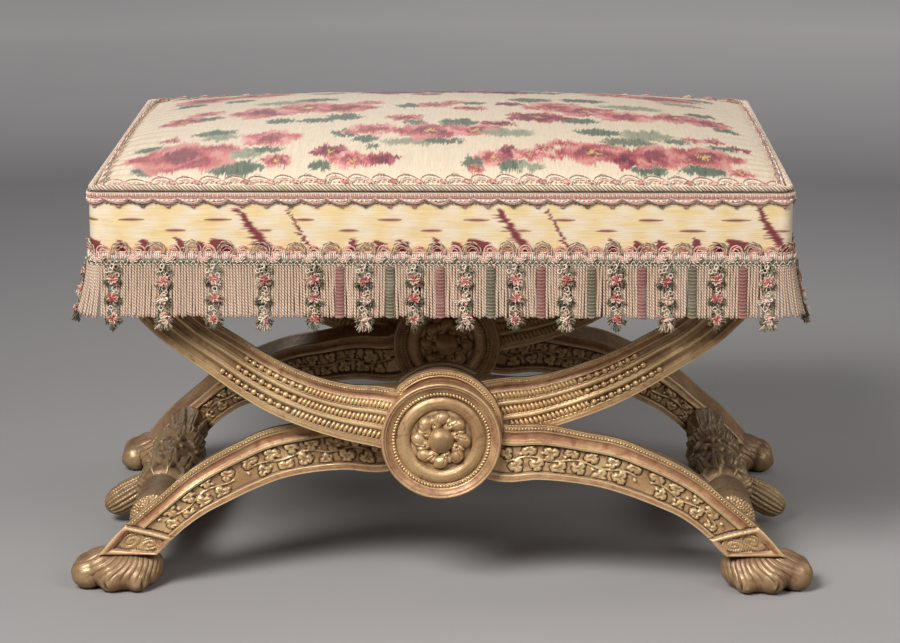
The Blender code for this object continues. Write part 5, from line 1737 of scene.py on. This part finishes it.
def build_heading(material):
    """The looped heading of the fringe: arches, stitches, scallops and a net strip."""
    soups = [tape(0.3362, heading_top, 0.0004, 0.0008, "blush"),
             tape(0.3324, 0.3368, 0.0024, 0.0006, "bark")]
    stitches(soups, 0.3366, 0.3438, 0.0014, ("pink", "ivory", "ivory", "ivory"))
    ring = np.linspace(0, wall_length, 3000, endpoint=False)[None]
    for height, tones in ((heading_top, ("pink", "cream")), (heading_foot, ("moss", "cream"))):
        lay_cords(soups, wall_surface, ring, height, 0.0017, 0.0008, tones, sides=4, closed=True,
                  turns=520)
    u = np.linspace(0, 1, 22)[None]
    wobble = np.random.default_rng(6).normal(0, 1, (arch_count, 1))
    start = repeat_starts(arch_count, 0.08)
    for width, height, thick, tones, slide in ((0.0122, 0.0070, 0.00078, ("pink", "blush"), -0.4),
                                               (0.0094, 0.0053, 0.00066, ("rose", "pink"), 0.7),
                                               (0.0060, 0.0036, 0.00062, ("cream", "pink"), -0.6)):
        across, up = arch_line(u, width + 0.0004 * wobble, height + 0.0007 * slide * wobble,
                               0.001 * slide)
        lay_cords(soups, wall_surface, start + across + 0.0006 * slide * wobble, up,
                  0.0016 + 0.0008 * np.sin(np.pi * u), thick, tones, turns=6.0)
    start = repeat_starts(arch_count, 0.58)
    for width, height, thick, tones, slide in ((0.0172, 0.0104, 0.00080, ("green", "straw"), -0.8),
                                               (0.0148, 0.0088, 0.00066, ("mauve", "moss"), 0.6),
                                               (0.0120, 0.0066, 0.00070, ("pink", "mauve"), -0.5),
                                               (0.0080, 0.0044, 0.00062, ("wine", "pink"), 0.4)):
        across, up = arch_line(u, width + 0.0005 * wobble, height + 0.0008 * slide * wobble,
                               0.0014 * slide)
        lay_cords(soups, wall_surface, start + across + 0.0008 * slide * wobble, up,
                  0.0022 + 0.0006 * np.sin(np.pi * u), thick, tones, turns=5.0)
    start = repeat_starts(arch_count, 0.90)
    for radius, thick, tones in ((0.0066, 0.0010, ("moss", "cream")), (0.0048, 0.0009, ("pink", "blush")),
                                 (0.0031, 0.0008, ("ivory", "pink"))):
        across = -radius * np.cos(np.pi * u)
        down = 0.3414 - 0.95 * radius * np.sin(np.pi * u)
        lay_cords(soups, wall_surface, start + across, down, 0.0040, thick, tones, turns=5.0)
    short = np.linspace(0, 1, 4)[None]
    net = repeat_starts(760)
    for lean, tones in ((0.0026, ("cream", "moss")), (-0.0026, ("green", "ivory"))):
        lay_cords(soups, wall_surface, net + lean * (short - 0.5), 0.3326 + 0.0038 * short,
                  0.0036 + 0.0004 * (lean > 0), 0.00046, tones, sides=3)
    lay_cords(soups, wall_surface, ring, 0.3326, 0.0038, 0.0007, ("sedge", "cream"), sides=4, closed=True,
              turns=520)
    finish_trim("looped_heading", soups, material, ["fringe_heading"])


def even_round(count, out):
    """Lengths round the seat at which points at this distance from the wall are evenly spaced."""
    s = np.linspace(0, wall_length, 20001)
    x, y, _ = ring_point(np.minimum(s, wall_length - 1e-9), out)
    run = np.concatenate([[0], np.cumsum(np.hypot(np.diff(x), np.diff(y)))])
    return np.interp(np.arange(count) / count * run[-1], run, s)


fringe_top = 0.3334
fringe_length = 0.0490
fringe_flare = 0.0100
fringe_stand = 0.0026
# How many hangers each side has: front, right, rear and left
hanger_counts = (14, 11, 14, 11)


def fringe_out(down):
    """How far the fringe stands from the wall at a length below its top."""
    return fringe_stand + fringe_flare * np.clip(down / fringe_length, 0, None) ** 1.5


def build_fringe(material):
    """Hundreds of tight two-ply cords, close together, with slightly uneven ends."""
    rng = np.random.default_rng(11)
    count = 868
    s = even_round(count, 0.008)
    near = np.full(count, 1.0)
    for which, number in enumerate(hanger_counts):
        for place in range(number):
            gap_here = np.abs(s - side_stations(place + 0.5, which) % wall_length)
            near = np.minimum(near, np.minimum(gap_here, wall_length - gap_here))
    s = s[near > 0.0040][:, None]
    count = len(s)
    soups = []
    u = np.linspace(0, 1, 18)[None]
    lengths = fringe_length * (1 + rng.normal(0, 0.016, (count, 1)))
    down = lengths * u
    groups = rng.normal(0, 1, count // 9 + 2)
    drift = np.interp(np.arange(count) / 17, np.arange(len(groups)), groups)
    clump = groups[np.arange(count) // 9] + 0.4 * drift
    sway = 0.0007 * clump[:, None] + rng.normal(0, 0.00030, (count, 1))
    s = s + sway * u ** 1.3
    s = s + 0.00014 * rng.normal(0, 1, (count, 1)) * np.sin(2 * np.pi * (u * 1.5 + rng.random((count, 1))))
    w = fringe_out(down) + 0.0004 * rng.normal(0, 1, (count, 1)) * (0.25 + u)
    shade = tone_of("straw") + (tone_of("beige") - tone_of("straw")) * rng.random((count, 1))
    shade = shade * (1 + rng.normal(0, 0.05, (count, 1)))
    paths, normals = wall_surface(*np.broadcast_arrays(s, fringe_top - down, w))
    points, faces, wind = wound_cords(paths, 0.00124, normals, 8.6)
    soups.append((points, faces, np.repeat(shade, 18 * 7, axis=0)))
    # A thin lining of darker threads behind them closes the gaps: painted shade where the gaps between the
    # cords show
    back = even_round(440, 0.004)[:, None]
    u = np.linspace(0, 1, 6)[None]
    down = fringe_length * 0.95 * u
    lay_cords(soups, wall_surface, back + 0 * u, fringe_top - down, fringe_out(down) - 0.0018, 0.00125,
              ("bark", "mauve", "bark"), sides=4)
    piece = finish_trim("hanging_cord_fringe", soups, material,
                        ["front_fringe", "rear_fringe", "left_fringe", "right_fringe"])
    winds = np.zeros(len(piece.data.vertices))
    winds[:len(wind)] = wind
    mark_value(piece.data, "wind", winds)


def side_stations(count, which):
    """Lengths round the seat of evenly spaced places on a side; which counts front, right, rear, left."""
    begin = sum(side_runs[:which]) + which * (math.pi / 2 - 2) * corner_radius - corner_radius
    return begin + np.asarray(count) * side_runs[which] / hanger_counts[which]


def build_strips(material):
    """Flat wrapped strips that hang between the hangers, ribbed by the thread round them."""
    soups = []
    ribs = 15
    per_rib = 9
    around = 12
    steps = ribs * per_rib
    u = np.linspace(0, 1, steps)
    rib = np.abs(np.sin(np.pi * ribs * u)) ** 0.7
    angle = 2 * np.pi * np.arange(around) / around
    for which, places in ((0, range(5, 14)), (1, range(2, 11)), (2, range(1, 12)), (3, range(1, 9))):
        for place in places:
            s = float(side_stations(place, which))
            down = 0.002 + 0.0468 * u
            half = (0.0039 + 0.0004 * rib) * np.clip(np.minimum(u, 1 - u) / 0.02, 0.35, 1) ** 0.5
            deep = 0.0014 + 0.0003 * rib
            s_grid = s + half[:, None] * np.cos(angle)
            w_grid = fringe_out(down)[:, None] + 0.0016 + deep[:, None] * np.sin(angle)
            # Each rib sags a little at its middle
            v_grid = fringe_top - down[:, None] - 0.0008 * (1 - np.cos(angle) ** 2) * (np.sin(angle) > 0)
            points, _ = wall_surface(s_grid % wall_length, v_grid, w_grid)
            ground = tone_of("wine" if place % 2 else "sedge")
            thread = tone_of("wrap_pink" if place % 2 else "wrap")
            facing = 0.35 + 0.65 * (np.sin(angle) > 0.3)
            share = smoothstep(0.965, 0.998, rib)[:, None, None] * facing[:, None]
            tints = ground + (thread - ground) * share * 0.8
            soups.append((points.reshape(-1, 3), capped_grid(steps, around), tints.reshape(-1, 3)))
    finish_trim("wrapped_strips", soups, material, [])


def loop_paths(centres, along, across, lengths, widths, steps=14):
    """Closed thread loops that leave their centres along one direction and come back."""
    turn = 2 * np.pi * np.arange(steps) / steps
    out = (1 - np.cos(turn))[None, :, None] / 2 * lengths[:, None, None] * along[:, None, :]
    side = np.sin(turn)[None, :, None] / 2 * widths[:, None, None] * across[:, None, :]
    return centres[:, None, :] + out + side


def make_hanger(seed, pale):
    """One knotted hanger in its own frame: x along the seat, y outwards, z up, top at 0."""
    rng = np.random.default_rng(seed)
    soups = []

    def rings(places, radius, thick, tones, tilt):
        places = np.asarray(places, float)
        turn = 2 * np.pi * np.arange(16) / 16
        lean = rng.normal(0, tilt, (len(places), 2))
        along = normalise(np.stack([np.ones(len(places)), 0.6 * lean[:, 0], 0 * lean[:, 0]], axis=1))
        up = normalise(np.stack([0 * lean[:, 1], 0.6 * lean[:, 1], np.ones(len(places))], axis=1))
        paths = (places[:, None, :] + radius * np.cos(turn)[None, :, None] * along[:, None, :]
                 + radius * np.sin(turn)[None, :, None] * up[:, None, :])
        points, faces = tubes(paths, thick, (0.05, 1.0, 0.03), closed=True)
        shade = np.asarray([tone_of(tones[index % len(tones)]) for index in range(len(places))])
        soups.append((points, faces, np.repeat(shade, 16 * 5, axis=0)))

    def clump(middle, count, reach, tones):
        around = 2 * np.pi * (np.arange(count) + rng.random(count) * 0.7) / count * 2.4
        out = rng.uniform(-0.1, 0.9, count)
        along = normalise(np.stack([np.cos(around), out, 0.85 * np.sin(around)], axis=1))
        across = normalise(np.cross(along, rng.normal(0, 1, (count, 3))))
        lengths = reach * rng.uniform(0.8, 1.1, count)
        centres = np.asarray(middle) + rng.normal(0, 0.0004, (count, 3))
        paths = loop_paths(centres, along, across, lengths, 0.42 * lengths)
        points, faces = tubes(paths, 0.00062, (0.31, 0.73, 0.61), 5, closed=True)
        shade = np.asarray([tone_of(tones[pick]) for pick in rng.integers(0, len(tones), count)])
        soups.append((points, faces, np.repeat(shade, 14 * 5, axis=0)))
        # Painted shade: the ball at the clump's core is 0.8 times as bright as its first tone
        soups.append((*balls(np.asarray([middle]), 0.0030, 6, 10), tone_of(tones[0]) * 0.8))

    def strands(middle, count, length, toward, spread, tones, thick, droop=0.0):
        along = normalise(np.asarray(toward, float) + rng.normal(0, spread, (count, 3)))
        u = np.linspace(0, 1, 6)
        sizes = length * rng.uniform(0.7, 1.1, count)
        paths = (np.asarray(middle) + rng.normal(0, 0.0006, (count, 1, 3))
                 + u[None, :, None] * sizes[:, None, None] * along[:, None, :])
        paths[:, :, 2] -= droop * u**2
        reference = (0.37, 0.11, 0.92) if abs(toward[0]) > 0.5 else (0.9, 0.3, 0.1)
        points, faces = tubes(paths, thick, reference, 3)
        shade = np.asarray([tone_of(tones[pick]) for pick in rng.integers(0, len(tones), count)])
        soups.append((points, faces, np.repeat(shade, 6 * 3, axis=0)))

    def lean(depth):
        return float(fringe_out(depth)) + 0.0026

    rows = ((-0.0046, 0.0022), (-0.0012, 0.0016), (0.0026, 0.0024), (0.0054, 0.0040), (-0.0028, 0.0052),
            (0.0016, 0.0056), (-0.0062, 0.0060), (0.0060, 0.0072), (-0.0010, 0.0086), (0.0034, 0.0098),
            (-0.0046, 0.0096))
    rings([(x, lean(d) + rng.uniform(0.0, 0.0014), -d) for x, d in rows], 0.0019, 0.00050,
          ("moss", "cream", "green", "grey", "cream"), 0.6)
    bright = ("red", "rose", "pink", "blush")
    soft = ("cream", "blush", "rose", "straw")
    furry = ("moss", "sedge", "green", "bark", "grey")
    for depth, size in ((0.0145, 0.0058), (0.0320, 0.0056)):
        depth += rng.uniform(-0.0012, 0.0012)
        slip = rng.uniform(-0.0012, 0.0012)
        clump((slip, lean(depth) + 0.0006, -depth), 15, size, bright if rng.random() < 0.75 else soft)
        for way in (-1, 1):
            tones = furry if rng.random() < 0.75 else ("cream", "straw", "grey")
            strands((0.0026 * way + slip, lean(depth) - 0.0004, -depth - 0.0010), 64, 0.0060,
                    (way, 0.15, -0.35), 0.62, tones, 0.00042, 0.0012)
        strands((slip, lean(depth) - 0.0006, -depth - 0.0050), 40, 0.0050, (0.2, 0.2, -1.0), 0.8,
                furry, 0.00042)
    for x, d, size, tone in ((0.0006, 0.0225, 0.0023, "cream"), (-0.0020, 0.0250, 0.0017, "moss"),
                             (0.0024, 0.0258, 0.0018, "straw"), (-0.0004, 0.0272, 0.0016, "cream"),
                             (-0.0026, 0.0400, 0.0021, "cream"), (0.0028, 0.0412, 0.0020, "moss"),
                             (0.0002, 0.0428, 0.0024, "straw"), (0.0038, 0.0440, 0.0015, "grey"),
                             (-0.0040, 0.0446, 0.0016, "green")):
        rings([(x + rng.normal(0, 0.0004), lean(d) + 0.0010, -d)], size, 0.00055, (tone,), 0.5)
    clump((rng.uniform(-0.001, 0.001), lean(0.0500), -0.0500), 18, 0.0056, soft if pale else bright)
    for way in (-1, 1):
        strands((0.0030 * way, lean(0.0490), -0.0495), 34, 0.0062, (way, 0.1, -0.55), 0.45, furry,
                0.00042, 0.0014)
    tail = ("straw", "grey", "straw") if pale else ("moss", "green", "sedge")
    for slip in (-0.0026, 0.0026) if pale else (0.0,):
        strands((slip, lean(0.0520), -0.0530), 34, 0.0082, (0.25 * slip / 0.0026, 0.05, -1.0), 0.30,
                tail, 0.00045)
    # The cord that everything is tied on
    u = np.linspace(0, 1, 16)
    depth = 0.0520 * u
    spine = np.stack([0 * u, np.asarray([lean(d) for d in depth]) - 0.0010, -depth], axis=1)[None]
    points, faces = tubes(twist(spine, (1.0, 0.2, 0.0), 0.0006, 5.0), 0.0008, (1.0, 0.2, 0.0), 5)
    soups.append((points, faces, tone_of("straw")))
    return join_soups(soups)


def build_hangers(material):
    kinds = [make_hanger(40 + index, index % 2 == 1) for index in range(6)]
    soups = []
    for which, count in enumerate(hanger_counts):
        for place in range(count):
            points, faces, tints = kinds[(len(soups) * 5 + which) % 6]
            s = np.asarray([side_stations(place + 0.5, which)]) % wall_length
            base, normal = wall_surface(s, fringe_top, 0.0)
            out = normal[0]
            axes = np.array([(-out[1], out[0], 0.0), out, (0.0, 0.0, 1.0)])
            soups.append((base[0] + points @ axes, faces, tints))
    finish_trim("knotted_hangers", soups, material, [])


def build_knob(name, end, facing, node, material):
    """A smooth dome on the pin's end."""
    low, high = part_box(node)
    top = low.y if end * facing < 0 else high.y
    tall = 0.0092
    angle = np.linspace(0, np.pi / 2, 24)
    radius = np.concatenate([high.x * np.sin(angle), [high.x, 0.0055, 0.0]])
    radius = np.maximum(radius, 0.00005)[:, None]
    height = np.concatenate([tall * np.cos(angle), [-0.0006, -0.0012, -0.0012]])[:, None]
    turn = np.linspace(0, 2 * np.pi, 64, endpoint=False)
    mesh = closed_mesh(name, np.stack([radius * np.cos(turn),
                                       top - end * facing * (tall - height) + 0 * turn,
                                       cross_height + radius * np.sin(turn)], axis=-1))
    mark_creases(mesh)
    add_piece(name, mesh, material, [node])


# The studio

def stage_material(name, floor_colour):
    material, shader, add = new_material(name)
    mottle = noise(add, 2.0, 2.0, 0.5)
    # Painted light on what the camera sees: darker away from the stool, then brighter far out, where it also
    # glows
    place = add("ShaderNodeSeparateXYZ", {0: add("ShaderNodeTexCoord").outputs["Object"]})
    squares = [maths(add, "POWER", place.outputs[axis], 2.0) for axis in (0, 1)]
    reach = maths(add, "SQRT", maths(add, "ADD", *squares))
    far = ramp(add, reach, 2.0, 3.8)
    seen_with_painted_light = coats(add, floor_colour, (ramp(add, reach, 0.3, 1.8), colour(158, 155, 156)),
                 (far, colour(240, 234, 235)),
                 (ramp(add, mottle, 0.3, 0.7, 0.0, 0.06), colour(120, 120, 122)),
                 # Painted shade: darker towards the left
                 (ramp(add, place.outputs[0], 0.1, -0.9, 0.0, 0.35), colour(120, 118, 118)))
    # Only the camera sees this painted light; lamps and bounces see a plain darker floor
    camera_ray = add("ShaderNodeLightPath").outputs["Is Camera Ray"]
    feed(shader, {"Base Color": blend_colours(add, camera_ray, colour(122, 118, 116), seen_with_painted_light),
                  "Roughness": 0.85, "Specular IOR Level": 0.2, "Emission Color": (1.0, 0.96, 0.96, 1.0),
                  "Emission Strength": maths(add, "MULTIPLY", camera_ray,
                                             ramp(add, far, 0.0, 1.0, 0.0, 0.17))})
    return material


def build_stage():
    """A round floor that curves up into a backdrop, far enough away for a camera on any side."""
    bend = 1.6
    start = 5.0
    angle = math.pi / 2 * np.arange(1, 25) / 24
    radius = np.concatenate([[0.01, 0.5, 2.0, start], start + bend * np.sin(angle), [start + bend]])
    height = np.concatenate([np.zeros(4), bend - bend * np.cos(angle), [2.6]]) - 0.0002
    turn = 2 * np.pi * np.arange(96) / 96
    points = np.stack([radius[:, None] * np.cos(turn), radius[:, None] * np.sin(turn),
                       height[:, None] + 0 * turn], axis=-1)
    mesh = make_mesh("studio_floor", points.reshape(-1, 3),
                     [grid_faces(len(radius), 96, close_columns=True), np.arange(96)[None, ::-1]])
    floor = bpy.data.objects.new("studio_floor", mesh)
    bpy.context.scene.collection.objects.link(floor)
    mesh.materials.append(stage_material("pale_floor", colour(172, 168, 166)))


def add_lamp(name, place, size, power):
    """A soft lamp that looks at the stool's middle."""
    lamp = bpy.data.lights.new(name, "AREA")
    lamp.shape = "RECTANGLE"
    lamp.size = size[0]
    lamp.size_y = size[1]
    lamp.energy = power
    piece = bpy.data.objects.new(name, lamp)
    piece.location = place
    piece.rotation_euler = (Vector((0.0, 0.0, 0.2)) - Vector(place)).to_track_quat("-Z", "Y").to_euler()
    bpy.context.scene.collection.objects.link(piece)


def build_lights():
    add_lamp("key_softbox", (-1.2, -2.1, 2.3), (1.2, 1.2), 104.0)
    add_lamp("fill_softbox", (1.9, -2.2, 2.1), (1.4, 1.4), 26.0)
    add_lamp("top_softbox", (0.2, 0.5, 2.6), (2.0, 1.4), 8.0)
    add_lamp("side_softbox", (2.4, 0.7, 1.3), (1.2, 1.2), 8.0)
    add_lamp("back_softbox", (-0.6, 2.6, 1.7), (1.4, 1.2), 6.0)
    world = bpy.data.worlds.new("studio")
    world.use_nodes = True
    background = world.node_tree.nodes["Background"]
    feed(background, {"Color": (0.9, 0.92, 0.95, 1.0), "Strength": 0.06})
    bpy.context.scene.world = world


def build_camera():
    camera = bpy.data.cameras.new("photo_camera")
    camera.sensor_width = 36.0
    camera.lens = 115.36
    piece = bpy.data.objects.new("photo_camera", camera)
    piece.location = (0.0436, -2.881, 0.920)
    piece.rotation_euler = (math.radians(76.28), math.radians(0.06), math.radians(0.74))
    bpy.context.scene.collection.objects.link(piece)
    bpy.context.scene.camera = piece
    bpy.context.scene.view_settings.view_transform = "Standard"


def main():
    build_camera()
    build_stage()
    build_lights()
    gilt = gilt_material("old_gilding")
    boss_gilt = gilt_material("boss_gilding", 0.55, 0.97)
    # A dimmer, dustier copy of the gilding for the outer knobs, stretchers and paws
    dim_dusty_gilt = gilt_material("dim_dusty_gilding", 0.70, 0.84)
    build_members(gilt)
    for end, where in ((-1, "front"), (1, "rear")):
        build_hump(where + "_hump", end, where + "_cross_outer_member", gilt)
        for facing, which in ((1, "outer"), (-1, "inner")):
            build_roundel(where + "_" + which + "_roundel", end, facing, boss_gilt)
        build_knob(where + "_outer_knob", end, 1, where + "_cross_pin", dim_dusty_gilt)
        build_knob(where + "_inner_knob_dome", end, -1, where + "_inner_knob", gilt)
    for side, hand in ((-1, "left"), (1, "right")):
        build_stretcher(hand + "_stretcher", side, dim_dusty_gilt)
        for end, where in ((-1, "front"), (1, "rear")):
            build_paw(where + "_" + hand + "_paw", side, end, dim_dusty_gilt)
    dress_boards()
    build_webbing()
    build_base_cloth()
    build_cover()
    build_band()
    threads = trim_material("trimming_threads")
    build_edge_cord(threads)
    build_top_gimp(threads)
    build_upper_gimp(threads)
    build_heading(threads)
    build_fringe(threads)
    build_strips(threads)
    build_hangers(threads)


main()
